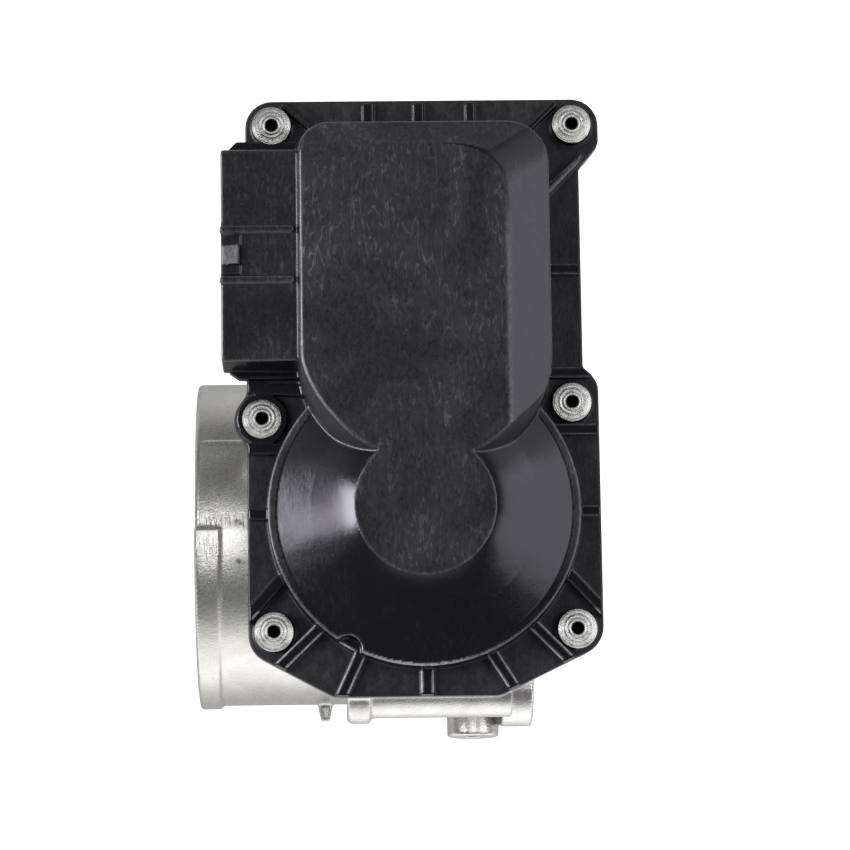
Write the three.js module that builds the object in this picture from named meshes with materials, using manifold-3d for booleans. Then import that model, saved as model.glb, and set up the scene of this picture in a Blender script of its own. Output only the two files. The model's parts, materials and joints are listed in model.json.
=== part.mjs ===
// Electronic throttle body: an aluminium casting with a round air bore, a throttle plate on a
// cross shaft, a two-stage gear train beside the bore, a DC motor, and a black plastic cover with
// its connector. Everything is in millimetres.
//
// Working frame: origin where the bore axis crosses the throttle-shaft axis, +X along the bore
// towards the intake manifold, +Y towards the motor, +Z along the shaft towards the gear cover.
// The finished group is moved along X so that its origin is the centre of the manifold flange face.
import * as THREE from 'three';
import { mergeVertices } from 'three/addons/utils/BufferGeometryUtils.js';
import { ConvexGeometry } from 'three/addons/geometries/ConvexGeometry.js';
import Module from 'manifold-3d';

const wasm = await Module();
wasm.setup();

// ---------- driving dimensions ----------
const gap = 0.3; // left between pieces that touch or slide

// bore, spigot and manifold flange
const boreRadius = 35;
const barrelRadius = 38.2;
const barrelRise = 1.1; // the outside of the barrel is centred this far above the bore axis
const beadRadius = 38.6;
const beadRise = 0.7;
const spigotEndX = -52;
const beadLength = 6;
const flangeFaceX = 24.5;
const flangeThickness = 6;

// flange outline seen from the spigot: -z, y, corner radius, anticlockwise; the lower side slopes
const flangeCorners = [
  [-41, -46, 10],
  [41, -33.2, 8],
  [41, 46, 10],
  [-41, 46, 10],
];
const flangeBolts = [[36, 31], [36, -31], [-36, 31], [-27.5, -33.5]]; // y, z
const flangeBoltRadius = 3.5;
const earRadius = 9.8;

// gear tray, the open box in the casting that the cover closes
const trayRimTop = 52;
const trayRimBottom = 48.6;
const trayFloorTop = 41;
const trayFloorBottom = 38;
const gasketLedge = 50.6;

// plastic cover
const coverBottom = trayRimTop + gap;
const coverTop = 55.3;
const coverWall = 2.4;
const domeRimTop = 61.5;
const domeTop = 70.5;
const gearDomeRadius = 34.9;
const gearDiscRadius = 15.6;
const motorDome = { left: -26.4, right: 28.9, top: 90, endY: 35.4 };
const rivetHoleRadius = 2.6;
const padRadius = 6;
const padTop = coverTop + 1.3;
const ribTop = coverTop + 1.6;
const ribWidth = 2.6;

// throttle shaft and plate
const shaftRadius = 4.5;
const shaftLow = -42.5;
const shaftHigh = 47.3;
const plateRadius = 34.6;
const plateThickness = 2;
const restOpening = THREE.MathUtils.degToRad(7); // where the springs hold the unpowered plate
const plateScrewZ = 17;
const plateScrewRadius = 1.8;
const bearingSeatRadius = 8;
const shaftBossRadius = 10.5;
const shaftBossTop = 45.7;
const rearBossBottom = -45.8;

// gear train: motor pinion, idler wheel and pinion, sector gear
const pressureAngle = THREE.MathUtils.degToRad(20);
const sectorTeeth = 60;
const sectorModule = 1;
const smallTeeth = 12;
const wheelTeeth = 52;
const wheelModule = 0.8;
const idlerAxis = new THREE.Vector2(0.4, 36);
const motorAxis = new THREE.Vector2(0.8, 61.6);
const sectorLow = 46.5;
const sectorHigh = 51.5;
const wheelLow = 53.5;
const wheelHigh = 57.5;
const idlerPinRadius = 2;

// motor
const motorRadius = 18.5;
const pocketRadius = 19.4;
const pocketWall = 2.6;
const pocketBottom = -22;
const motorBottom = -17;
const motorScrewReach = 22.5;
const motorScrewRadius = 1.8;
const motorEarRadius = 4.6;
const motorShaftRadius = 1.6;
const endPlateThickness = 2;

// connector on the cover, opening towards -X
const socket = { face: -44.8, back: -27, yLow: 32.6, yHigh: 81.0, zLow: 53.5, zHigh: 68.5, wall: 2.2 };
const terminalCount = 6;
const terminalPitch = 6.4;
const mouthDepth = 14.6;

// rivets: places round the cover's edge
const rivetPlaces = {
  top_left: [-33.5, 89.1],
  top_right: [34.8, 89.0],
  middle_left: [-36.1, 21.6],
  middle_right: [33.6, 24.7],
  bottom_left: [-33.8, -26.5],
  bottom_right: [33.8, -26.5],
};

// outline shared by tray and cover: corner x, corner y, corner radius, anticlockwise
const outlineCorners = [
  [-20.5, -41.1, 5],
  [16.5, -41.1, 5],
  [39.8, -29.8, 6.5],
  [39.8, 29.9, 5.5],
  [36.4, 33.0, 1.5],
  [36.4, 79.0, 2],
  [41.0, 84.6, 4],
  [41.0, 95.4, 6.2],
  [-39.5, 95.4, 6.2],
  [-39.5, 29.3, 1.5],
  [-42.1, 26.4, 3.5],
  [-42.1, 16.6, 3.5],
  [-39.5, 13.8, 1.5],
  [-39.5, -30.7, 6.2],
];

// ---------- materials ----------
const finish = (color, roughness, metalness) =>
  new THREE.MeshStandardMaterial({ color, roughness, metalness });
const castAluminium = finish(0xb9b5ac, 0.5, 0.9);
const blackPlastic = finish(0x17181b, 0.35, 0);
const rubber = finish(0x1d1d1f, 0.8, 0);
const steel = finish(0xb5b7ba, 0.35, 1);
const rivetMetal = finish(0xc9c8c3, 0.3, 1);
const brass = finish(0xc09a4a, 0.3, 1);
const tin = finish(0xc7c9c8, 0.3, 1);
const gearPlastic = finish(0xd8d2c0, 0.5, 0);
const magnet = finish(0x303134, 0.6, 0.2);
const boardGreen = finish(0x1f5a38, 0.5, 0);
const copper = finish(0xb0683a, 0.4, 1);

// ---------- solids ----------
function toSolid(geometry) {
  const bare = geometry.clone();
  bare.deleteAttribute('normal');
  bare.deleteAttribute('uv');
  const merged = mergeVertices(bare, 1e-4);
  const vertProperties = new Float32Array(merged.attributes.position.array);
  const triVerts = new Uint32Array(merged.index.array);
  return new wasm.Manifold(new wasm.Mesh({ numProp: 3, vertProperties, triVerts }));
}

function toGeometry(solid) {
  const { vertProperties, triVerts } = solid.getMesh();
  const geometry = new THREE.BufferGeometry();
  geometry.setAttribute('position', new THREE.BufferAttribute(vertProperties, 3));
  geometry.setIndex(new THREE.BufferAttribute(triVerts, 1));
  geometry.computeVertexNormals();
  return geometry;
}

const join = (...solids) => solids.reduce((whole, next) => whole.add(next));
const cut = (solid, ...tools) => tools.reduce((left, tool) => left.subtract(tool), solid);

function block(xLow, xHigh, yLow, yHigh, zLow, zHigh) {
  const box = new THREE.BoxGeometry(xHigh - xLow, yHigh - yLow, zHigh - zLow);
  box.translate((xLow + xHigh) / 2, (yLow + yHigh) / 2, (zLow + zHigh) / 2);
  return toSolid(box);
}

function rodZ(radius, zLow, zHigh, x = 0, y = 0, segments = 24) {
  const rod = new THREE.CylinderGeometry(radius, radius, zHigh - zLow, segments);
  rod.rotateX(Math.PI / 2);
  rod.translate(x, y, (zLow + zHigh) / 2);
  return toSolid(rod);
}

function rodX(radius, xLow, xHigh, y = 0, z = 0, segments = 24) {
  const rod = new THREE.CylinderGeometry(radius, radius, xHigh - xLow, segments);
  rod.rotateZ(Math.PI / 2);
  rod.translate((xLow + xHigh) / 2, y, z);
  return toSolid(rod);
}

// a rod along Y whose end at yLow may be narrower
function rodY(radiusLow, radiusHigh, yLow, yHigh, x, z, segments = 20) {
  const rod = new THREE.CylinderGeometry(radiusHigh, radiusLow, yHigh - yLow, segments);
  rod.translate(x, (yLow + yHigh) / 2, z);
  return toSolid(rod);
}

// turned about Z from [radius, height] points, which start and end on the axis or close on themselves
function turned(profile, segments = 24) {
  const closed = [...profile, profile[0]];
  const area = closed.slice(1).reduce((sum, [r, z], i) => sum + closed[i][0] * z - r * closed[i][1], 0);
  const ordered = area > 0 ? profile : [...profile].reverse();
  const isRing = ordered.every(([r]) => r > 0);
  const points = (isRing ? [...ordered, ordered[0]] : ordered).map(([r, z]) => new THREE.Vector2(r, z));
  const lathe = new THREE.LatheGeometry(points, segments);
  lathe.rotateX(Math.PI / 2);
  return toSolid(lathe);
}

function ring(radiusIn, radiusOut, zLow, zHigh, segments = 24) {
  return turned([[radiusIn, zLow], [radiusOut, zLow], [radiusOut, zHigh], [radiusIn, zHigh]], segments);
}

function extruded(points, zLow, zHigh) {
  const shape = new THREE.Shape(points);
  const slab = new THREE.ExtrudeGeometry(shape, { depth: zHigh - zLow, bevelEnabled: false });
  slab.translate(0, 0, zLow);
  return toSolid(slab);
}

// a polygon with rounded corners, drawn in by inset on every side
function roundedOutline(corners, inset = 0, arcSteps = 3) {
  const count = corners.length;
  const inwards = (a, b) => {
    const along = new THREE.Vector2(b[0] - a[0], b[1] - a[1]).normalize();
    return new THREE.Vector2(-along.y, along.x);
  };
  const moved = corners.map((corner, i) => {
    const before = inwards(corners[(i + count - 1) % count], corner);
    const after = inwards(corner, corners[(i + 1) % count]);
    const scale = inset / (1 + before.dot(after));
    return new THREE.Vector2(corner[0], corner[1]).addScaledVector(before.add(after), scale);
  });
  const points = [];
  moved.forEach((corner, i) => {
    const toPrevious = moved[(i + count - 1) % count].clone().sub(corner).normalize();
    const toNext = moved[(i + 1) % count].clone().sub(corner).normalize();
    const convex = toNext.cross(toPrevious) > 0;
    const radius = Math.max(corners[i][2] + (convex ? -inset : inset), 0.6);
    const half = Math.acos(THREE.MathUtils.clamp(toPrevious.dot(toNext), -1, 1)) / 2;
    const bisector = toPrevious.clone().add(toNext).normalize();
    const centre = corner.clone().addScaledVector(bisector, radius / Math.sin(half));
    const start = corner.clone().addScaledVector(toPrevious, radius / Math.tan(half)).sub(centre);
    const sweep = (Math.PI - 2 * half) * (convex ? 1 : -1);
    for (let step = 0; step <= arcSteps; step += 1) {
      const turnedStart = start.clone().rotateAround(new THREE.Vector2(), (sweep * step) / arcSteps);
      points.push(turnedStart.add(centre));
    }
  });
  return points;
}

// one gear tooth's outline, from root to root, centred on the given angle
function toothOutline(teeth, module, angle) {
  const pitchRadius = (teeth * module) / 2;
  const baseRadius = pitchRadius * Math.cos(pressureAngle);
  const rootRadius = pitchRadius - 1.2 * module;
  const tipRadius = pitchRadius + 0.85 * module;
  const involute = (radius) => {
    const slope = Math.acos(Math.min(1, baseRadius / radius));
    return Math.tan(slope) - slope;
  };
  const pitchHalfAngle = (0.44 * Math.PI) / teeth;
  const curved = [rootRadius, baseRadius, pitchRadius, tipRadius];
  const flank = teeth <= smallTeeth ? curved : [rootRadius, tipRadius];
  const halfAngle = (radius) => pitchHalfAngle + involute(pitchRadius) - involute(radius);
  const at = (radius, turn) => new THREE.Vector2(Math.cos(turn), Math.sin(turn)).multiplyScalar(radius);
  const rising = flank.map((radius) => at(radius, angle - halfAngle(radius)));
  const falling = [...flank].reverse().map((radius) => at(radius, angle + halfAngle(radius)));
  return [...rising, ...falling];
}

function gearOutline(teeth, module, toothAngle) {
  const points = [];
  for (let tooth = 0; tooth < teeth; tooth += 1) {
    points.push(...toothOutline(teeth, module, toothAngle + (2 * Math.PI * tooth) / teeth));
  }
  return points;
}

const angleBetween = (from, to) => Math.atan2(to.y - from.y, to.x - from.x);
const sectorLine = angleBetween(new THREE.Vector2(), idlerAxis);
const wheelLine = angleBetween(idlerAxis, motorAxis);

// ---------- the assembly ----------
const throttleBody = new THREE.Group();
const assembly = new THREE.Group();
assembly.position.x = -flangeFaceX;
throttleBody.add(assembly);

function place(name, solid, material, position = [0, 0, 0], parent = assembly) {
  const mesh = new THREE.Mesh(toGeometry(solid), material);
  mesh.name = name;
  mesh.position.set(...position);
  parent.add(mesh);
  return mesh;
}

function addHousing() {
  const barrel = rodX(barrelRadius, spigotEndX + 2, flangeFaceX - 1, barrelRise, 0, 40);
  const bead = rodX(beadRadius, spigotEndX, spigotEndX + beadLength, beadRise, 0, 40);
  const flangeSlab = extruded(roundedOutline(flangeCorners), 0, flangeThickness);
  const flange = flangeSlab.rotate([0, 90, 0]).translate([flangeFaceX - flangeThickness, 0, 0]);
  const rim = extruded(roundedOutline(outlineCorners, 0.5), trayRimBottom, trayRimTop);
  const trayBox = extruded(roundedOutline(outlineCorners, 4), trayFloorBottom, trayRimBottom);
  const pocketOutside = pocketRadius + pocketWall;
  const pocket = rodZ(pocketOutside, pocketBottom, trayFloorTop - 1, motorAxis.x, motorAxis.y, 32);
  const screwBosses = [-1, 1].map((side) =>
    rodZ(4.2, 30, trayFloorTop - 0.5, motorAxis.x + side * motorScrewReach, motorAxis.y, 12));
  const idlerBoss = rodZ(5, 32, trayFloorTop - 0.5, idlerAxis.x, idlerAxis.y, 12);
  const rearBoss = rodZ(shaftBossRadius, rearBossBottom, -30);
  const web = block(-3, 3, 20, 48, -14, trayFloorBottom + 1);

  const railY = -40.4;
  const railZ = 43;
  const rail = rodX(4.2, -14, flangeFaceX - flangeThickness + 1, railY, railZ, 16);
  const railEnd = rodX(5.4, -17.6, -12.2, railY, railZ, 16);
  const port = rodY(5.9, 5.9, -47.8, -20, 11.2, 27);
  const nub = rodY(1.1, 2.3, -41.2, -34, -22.6, 0, 10);
  const [earY, earZ] = flangeBolts[2];
  const ear = rodX(earRadius, 17.4, flangeFaceX - 1, earY, earZ, 20);

  let body = join(barrel, bead, flange, rim, trayBox, pocket, ...screwBosses, idlerBoss, rearBoss);
  body = join(body, web, rail, railEnd, port, nub, ear);

  const cavity = extruded(roundedOutline(outlineCorners, 6.5), trayFloorTop, trayRimTop + 1);
  const ledge = extruded(roundedOutline(outlineCorners, 3.2), gasketLedge, trayRimTop + 1);
  body = cut(body, cavity, ledge);
  const inRim = extruded(roundedOutline(outlineCorners, 0.5), trayRimBottom - 1, trayRimTop);
  const bosses = Object.values(rivetPlaces).flatMap(([x, y]) => [
    rodZ(4.8, trayFloorBottom + 1, trayRimTop - 0.4, x, y, 16),
    rodZ(8.1, trayRimBottom, gasketLedge, x, y, 16).intersect(inRim),
  ]);
  const shaftBoss = rodZ(shaftBossRadius, boreRadius, shaftBossTop);
  body = join(body, ...bosses, shaftBoss);

  const bore = rodX(boreRadius, spigotEndX - 1, flangeFaceX + 1, 0, 0, 40);
  const motorPocket = rodZ(pocketRadius, pocketBottom + 3, trayFloorTop + 1, motorAxis.x, motorAxis.y, 32);
  const shaftHole = rodZ(shaftRadius + gap, rearBossBottom - 1, shaftBossTop + 1, 0, 0, 24);
  const upperSeat = rodZ(bearingSeatRadius, 37.6, shaftBossTop + 1);
  const lowerSeat = rodZ(bearingSeatRadius, rearBossBottom - 1, -37.6);
  const idlerHole = rodZ(idlerPinRadius + gap, 35, trayFloorTop + 1, idlerAxis.x, idlerAxis.y, 12);
  const portHole = rodY(1.9, 1.9, -49, -38, 11.2, 27, 12);
  const rivetHoles = Object.values(rivetPlaces).map(([x, y]) =>
    rodZ(rivetHoleRadius, trayFloorBottom - 1, trayRimTop + 1, x, y, 12));
  const canHoleTop = trayFloorTop + 1;
  const screwHoles = [-1, 1].map((side) =>
    rodZ(motorScrewRadius + gap, 33, canHoleTop, motorAxis.x + side * motorScrewReach, motorAxis.y, 12));
  const boltHoles = flangeBolts.map(([y, z]) => rodX(flangeBoltRadius, 10, flangeFaceX + 1, y, z, 12));
  body = cut(body, bore, motorPocket, shaftHole, upperSeat, lowerSeat, idlerHole, portHole);
  body = cut(body, ...rivetHoles, ...screwHoles, ...boltHoles);
  place('throttle_housing', body, castAluminium);
}

// points round a level of the motor dome: straight sides, rounded top corners, half-round end
function domeLevel(left, right, top, endY, cornerLeft, cornerRight, z) {
  const points = [];
  const arc = (cx, cy, radius, from, to, steps) => {
    for (let step = 0; step <= steps; step += 1) {
      const turn = THREE.MathUtils.degToRad(from + ((to - from) * step) / steps);
      points.push(new THREE.Vector3(cx + radius * Math.cos(turn), cy + radius * Math.sin(turn), z));
    }
  };
  const endRadius = (right - left) / 2;
  arc((left + right) / 2, endY, endRadius, 180, 360, 14);
  arc(right - cornerRight, top - cornerRight, cornerRight, 0, 90, 5);
  arc(left + cornerLeft, top - cornerLeft, cornerLeft, 90, 180, 5);
  return points;
}

function motorDomeSolid(inset, baseZ, topZ) {
  const { left, right, top, endY } = motorDome;
  const slope = 9.4;
  const base = domeLevel(left + inset, right - inset, top - inset, endY, 8, 9.5, baseZ);
  const roofTop = top - slope + 1 - inset;
  const roof = domeLevel(left + 0.5 + inset, right - slope - inset, roofTop, endY, 7, 9, topZ);
  return toSolid(new ConvexGeometry([...base, ...roof]));
}

function gearDomeSolid(inset, baseZ) {
  const radius = gearDomeRadius - inset;
  const disc = gearDiscRadius - inset * 0.4;
  const rimZ = domeRimTop - inset;
  const topZ = domeTop - inset;
  return turned([[0, baseZ], [radius, baseZ], [radius, rimZ], [disc, topZ], [0, topZ]], 40);
}

// stiffening ribs of the cover: start x, y and end x, y on the flange
const coverRibs = [
  [-11.5, 88, -11.5, 94.6], [0, 88, 0, 94.6], [11.8, 88, 11.8, 94.6],
  [-30.6, 93.9, -23.6, 87.0], [31.3, 93.9, 25, 87.6], [37.3, 82.2, 28, 72.8],
  [27, 55.4, 36.1, 55.4], [27, 31.6, 36.1, 31.6], [27, 18.6, 39.5, 18.6], [33, 0, 39.5, 0],
  [30.8, -12.6, 39.3, -21.6], [23.4, -24.8, 32.0, -33.4], [14.4, -31.2, 19.6, -39.4],
  [0.2, -34, 0.2, -40.8], [-14.4, -31.2, -18.4, -39.8], [-23.2, -25.4, -31.8, -33.6],
  [-31.2, -13.6, -39.0, -22.4], [-33, 0, -39.2, 0], [-31, 14.8, -39.2, 14.8], [-26, 27.6, -38.8, 28.8],
];

function ribSolid([x1, y1, x2, y2]) {
  const along = new THREE.Vector2(x2 - x1, y2 - y1);
  const side = new THREE.Vector2(-along.y, along.x).setLength(ribWidth / 2);
  const points = [
    new THREE.Vector2(x1 - side.x, y1 - side.y),
    new THREE.Vector2(x2 - side.x, y2 - side.y),
    new THREE.Vector2(x2 + side.x, y2 + side.y),
    new THREE.Vector2(x1 + side.x, y1 + side.y),
  ];
  return extruded(THREE.ShapeUtils.area(points) > 0 ? points : points.reverse(), coverTop - 1, ribTop);
}

function addCover() {
  const plate = extruded(roundedOutline(outlineCorners), coverBottom, coverTop);
  const pads = Object.values(rivetPlaces).map(([x, y]) => rodZ(padRadius, coverTop - 1, padTop, x, y, 16));
  const { face, back, yLow, yHigh, zLow, zHigh, wall } = socket;
  const shroud = block(face, back, yLow, yHigh, zLow, zHigh);
  const lip = block(face + 1.6, back, yLow - 1.1, yHigh + 3.6, zLow - 1.0, zLow + 5.5);
  let body = join(plate, gearDomeSolid(0, coverTop - 1), motorDomeSolid(0, coverTop - 1, domeTop));
  body = join(body, ...pads, ...coverRibs.map(ribSolid), shroud, lip);

  const recess = block(face - 1, back - 1.5, 51.2, 62.2, zHigh - 0.9, zHigh + 1);
  const mouth = block(face - 1, face + mouthDepth, yLow + wall, yHigh - wall, zLow + wall, zHigh - wall);
  const gearRoom = gearDomeSolid(coverWall, coverBottom - 1);
  const motorRoom = motorDomeSolid(coverWall, coverBottom - 1, domeTop - coverWall);
  body = cut(body, recess, mouth, gearRoom, motorRoom);
  const latch = block(face + 0.3, face + 4.3, 54.6, 59.1, zHigh - 1.5, zHigh);
  const postPlaces = [[-13, -7], [13, -7], [-13, 11], [13, 11]];
  const posts = postPlaces.map(([x, y]) => rodZ(1.5, 61.7, domeTop - coverWall + 0.5, x, y, 8));
  body = join(body, latch, ...posts);
  const rivetHoles = Object.values(rivetPlaces).map(([x, y]) =>
    rodZ(rivetHoleRadius, coverBottom - 1, padTop + 1, x, y, 12));
  body = cut(body, ...rivetHoles);
  place('gear_cover', body, blackPlastic);

  // the seal follows the outline and passes inside every rivet
  const sealBand = (inset, clearOfRivet, low, high) => cut(
    extruded(roundedOutline(outlineCorners, inset, 3), low, high),
    ...Object.values(rivetPlaces).map(([x, y]) => rodZ(clearOfRivet, low - 1, high + 1, x, y, 20)),
  );
  const sealLow = gasketLedge + gap;
  const seal = cut(sealBand(3.5, 5.2, sealLow, trayRimTop), sealBand(5.9, 7.6, sealLow - 1, trayRimTop + 1));
  place('cover_gasket', seal, rubber);

  const midY = (yLow + yHigh) / 2;
  const terminalZ = (zLow + zHigh) / 2;
  for (let pin = 0; pin < terminalCount; pin += 1) {
    const y = midY + (pin - (terminalCount - 1) / 2) * terminalPitch;
    const blade = block(face + 7.8, face + mouthDepth - gap, -0.8, 0.8, -0.4, 0.4);
    place(`connector_terminal_${pin + 1}`, blade, tin, [0, y, terminalZ]);
  }
}

function addRivets() {
  const head = padTop + gap;
  const profile = [
    [1.4, 44], [2.3, 44], [2.3, head], [4.5, head], [4.3, head + 1.1], [2.4, head + 1.3],
    [2.2, head + 2.0], [1.4, head + 2.0],
  ];
  for (const [name, [x, y]] of Object.entries(rivetPlaces)) {
    place(`cover_rivet_${name}`, turned(profile, 14), rivetMetal, [x, y, 0]);
  }
}

function addThrottle() {
  const throttle = new THREE.Group();
  throttle.rotation.z = restOpening;
  assembly.add(throttle);
  const screwHeights = { upper: plateScrewZ, lower: -plateScrewZ };
  const screwHole = (z, radius) => rodX(radius, -8, 8, 0, z, 12);
  const holes = Object.values(screwHeights).map((z) => screwHole(z, plateScrewRadius + gap));

  const disc = rodX(plateRadius, -plateThickness / 2, plateThickness / 2, 0, 0, 40);
  place('throttle_plate', cut(disc, ...holes), brass, [0, 0, 0], throttle);

  const slotHalf = plateThickness / 2 + gap;
  const slotReach = plateRadius + gap;
  const slot = block(-slotHalf, slotHalf, -shaftRadius - 1, shaftRadius + 1, -slotReach, slotReach);
  const shaft = rodZ(shaftRadius, shaftLow, shaftHigh, 0, 0, 20);
  place('throttle_shaft', cut(shaft, slot, ...holes), steel, [0, 0, 0], throttle);

  const headSeat = shaftRadius + gap;
  const screwProfile = [
    [0, -headSeat], [plateScrewRadius, -headSeat], [plateScrewRadius, headSeat], [3.4, headSeat],
    [3.4, headSeat + 1], [2.4, headSeat + 1.8], [0, headSeat + 1.8],
  ];
  const screw = turned(screwProfile, 16).rotate([0, 90, 0]);
  for (const [name, z] of Object.entries(screwHeights)) {
    place(`plate_screw_${name}`, screw, steel, [0, 0, z], throttle);
  }

  const bearing = ring(shaftRadius + gap, bearingSeatRadius - gap, 0, 5.4);
  place('shaft_bearing_upper', bearing, steel, [0, 0, 37.9]);
  place('shaft_bearing_lower', bearing, steel, [0, 0, -43.3]);
  place('shaft_seal', ring(shaftRadius + gap, bearingSeatRadius - gap, 0, 1.8), rubber, [0, 0, 43.6]);
  place('shaft_end_plug', rodZ(bearingSeatRadius - gap, rearBossBottom + 0.4, -43.6), steel);
}

function addSectorGear() {
  const firstAngle = sectorLine - THREE.MathUtils.degToRad(90);
  const toothPitch = (2 * Math.PI) / sectorTeeth;
  const firstTooth = Math.ceil((firstAngle - sectorLine) / toothPitch);
  const lastTooth = Math.floor(THREE.MathUtils.degToRad(20) / toothPitch);
  const points = [new THREE.Vector2(0, 0)];
  for (let tooth = firstTooth; tooth <= lastTooth; tooth += 1) {
    points.push(...toothOutline(sectorTeeth, sectorModule, sectorLine + tooth * toothPitch));
  }
  const web = extruded(points, sectorLow, sectorHigh);
  const windowPoints = [[0, 0], [26.5, 2.5], [20, 18], [2.5, 26.5]].map(([x, y]) => new THREE.Vector2(x, y));
  const windowWedge = extruded(windowPoints, sectorLow - 1, sectorHigh + 1);
  const window = cut(windowWedge, rodZ(12.5, sectorLow - 2, sectorHigh + 2));
  const hub = rodZ(8.8, shaftBossTop + gap, 55);
  const shaftSocket = rodZ(shaftRadius + gap, shaftBossTop - 1, shaftHigh + gap, 0, 0, 20);
  const body = cut(join(cut(web, window), hub), shaftSocket);
  place('sector_gear', body, gearPlastic);
  place('sensor_magnet', ring(2.5, 6, 55 + gap, 57.4, 20), magnet);
}

function addReturnSpring() {
  const turns = 2.25;
  const wireRadius = 0.7;
  const coilRadius = 12.6;
  const low = trayFloorTop + 1.1;
  const rise = 1.6;
  const path = [];
  const steps = 30;
  path.push(new THREE.Vector3(coilRadius + 4, 0.6, low));
  for (let step = 0; step <= steps; step += 1) {
    const turn = 0.3 + (2 * Math.PI * turns * step) / steps;
    path.push(new THREE.Vector3(Math.cos(turn), Math.sin(turn), 0).multiplyScalar(coilRadius)
      .setZ(low + rise * turns * (step / steps)));
  }
  const section = new THREE.Shape();
  section.absarc(0, 0, wireRadius, 0, 2 * Math.PI);
  const wire = new THREE.ExtrudeGeometry(section, {
    steps: 46, curveSegments: 3, bevelEnabled: false, extrudePath: new THREE.CatmullRomCurve3(path),
  });
  place('return_spring', toSolid(wire), steel);
}

function addIdler() {
  const pinionAngle = sectorLine + Math.PI + Math.PI / smallTeeth;
  const wheel = extruded(gearOutline(wheelTeeth, wheelModule, wheelLine), wheelLow, wheelHigh);
  const pinion = extruded(gearOutline(smallTeeth, sectorModule, pinionAngle), sectorLow, wheelLow + 0.5);
  const hub = rodZ(5, wheelHigh - 0.5, wheelHigh + 1.2, 0, 0, 16);
  const pinHole = rodZ(idlerPinRadius + gap, sectorLow - 1, wheelHigh + 2, 0, 0, 14);
  const body = cut(join(wheel, pinion, hub), pinHole);
  place('idler_gear', body, gearPlastic, [idlerAxis.x, idlerAxis.y, 0]);
  place('idler_pin', rodZ(idlerPinRadius, 35 + gap, 60.5, 0, 0, 14), steel, [idlerAxis.x, idlerAxis.y, 0]);
}

function addMotor() {
  const motor = new THREE.Group();
  motor.position.set(motorAxis.x, motorAxis.y, 0);
  assembly.add(motor);
  const centred = [0, 0, 0];
  const canTop = trayFloorTop;
  const can = turned([[0, motorBottom], [motorRadius, motorBottom], [motorRadius, canTop],
    [motorRadius - 1.3, canTop], [motorRadius - 1.3, motorBottom + 1.5], [0, motorBottom + 1.5]], 28);
  place('motor_can', can, steel, centred, motor);

  const magnetRing = ring(13.7, 16.8, -12, 25, 28);
  for (const [name, side] of [['left', -1], ['right', 1]]) {
    const half = block(Math.min(side * 3, side * 20), Math.max(side * 3, side * 20), -20, 20, -13, 26);
    place(`motor_magnet_${name}`, magnetRing.intersect(half), magnet, centred, motor);
  }
  const shaftTop = 58.8;
  const armature = turned([
    [0, -14.5], [motorShaftRadius, -14.5], [motorShaftRadius, -11], [12.9, -11], [12.9, 22], [5, 22.5],
    [5, 34], [motorShaftRadius, 34], [motorShaftRadius, shaftTop], [0, shaftTop],
  ], 20);
  place('motor_armature', armature, copper, centred, motor);
  place('motor_brush_holder', ring(7, 16.6, 26, 34, 20), blackPlastic, centred, motor);

  const plateLow = canTop + gap;
  const plateHigh = plateLow + endPlateThickness;
  const sides = [-1, 1];
  const ears = sides.map((side) => rodZ(motorEarRadius, plateLow, plateHigh, side * motorScrewReach, 0, 16));
  const bar = block(-motorScrewReach, motorScrewReach, -motorEarRadius, motorEarRadius, plateLow, plateHigh);
  const plate = join(rodZ(motorRadius, plateLow, plateHigh, 0, 0, 28), bar, ...ears);
  const plateHoles = sides.map((side) =>
    rodZ(motorScrewRadius + gap, canTop - 1, canTop + 4, side * motorScrewReach, 0, 12));
  const shaftHole = rodZ(motorShaftRadius + gap, canTop - 1, canTop + 6, 0, 0, 14);
  const nose = rodZ(6.5, canTop + 2, canTop + 4.6, 0, 0, 16);
  place('motor_end_plate', cut(join(plate, nose), shaftHole, ...plateHoles), steel, centred, motor);

  const headLow = plateHigh + gap;
  const headHigh = headLow + 2.4;
  const screw = turned([
    [0, 34], [motorScrewRadius, 34], [motorScrewRadius, headLow],
    [3.6, headLow], [3.6, headHigh], [0, headHigh],
  ], 14);
  place('motor_screw_left', screw, steel, [-motorScrewReach, 0, 0], motor);
  place('motor_screw_right', screw, steel, [motorScrewReach, 0, 0], motor);

  const pinionAngle = wheelLine + Math.PI + Math.PI / smallTeeth;
  const pinionOutline = gearOutline(smallTeeth, wheelModule, pinionAngle);
  const pinionBlank = extruded(pinionOutline, wheelLow - 1, wheelHigh + 1);
  const pinionHole = rodZ(motorShaftRadius + gap, 50, 60, 0, 0, 14);
  place('motor_pinion', cut(pinionBlank, pinionHole), brass, centred, motor);

  const waveHeight = 0.35;
  const wave = new THREE.LatheGeometry([[12, 0], [15.5, 0], [15.5, 0.6], [12, 0.6], [12, 0]]
    .map(([r, z]) => new THREE.Vector2(r, z)), 24);
  const spots = wave.attributes.position;
  for (let i = 0; i < spots.count; i += 1) {
    const turn = Math.atan2(spots.getZ(i), spots.getX(i));
    spots.setY(i, spots.getY(i) + waveHeight * Math.sin(4 * turn));
  }
  wave.rotateX(Math.PI / 2);
  place('motor_wave_spring', toSolid(wave), steel, [0, 0, -18.3], motor);

  const roofUnderside = domeTop - coverWall;
  for (const [name, x] of [['left', -9.8], ['right', 9.8]]) {
    const blade = block(x - 2.5, x + 2.5, 10, 10.8, plateHigh + gap, roofUnderside - gap);
    place(`motor_contact_${name}`, blade, brass, centred, motor);
  }
}

function addSensor() {
  const corners = [[-17, -12, 2], [17, -12, 2], [17, 14, 2], [-17, 14, 2]];
  place('sensor_board', extruded(roundedOutline(corners, 0, 2), 60, 61.4), boardGreen);
  place('sensor_chip', block(-3.5, 3.5, -3, 3, 58.4, 60 - gap), magnet);
}

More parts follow.
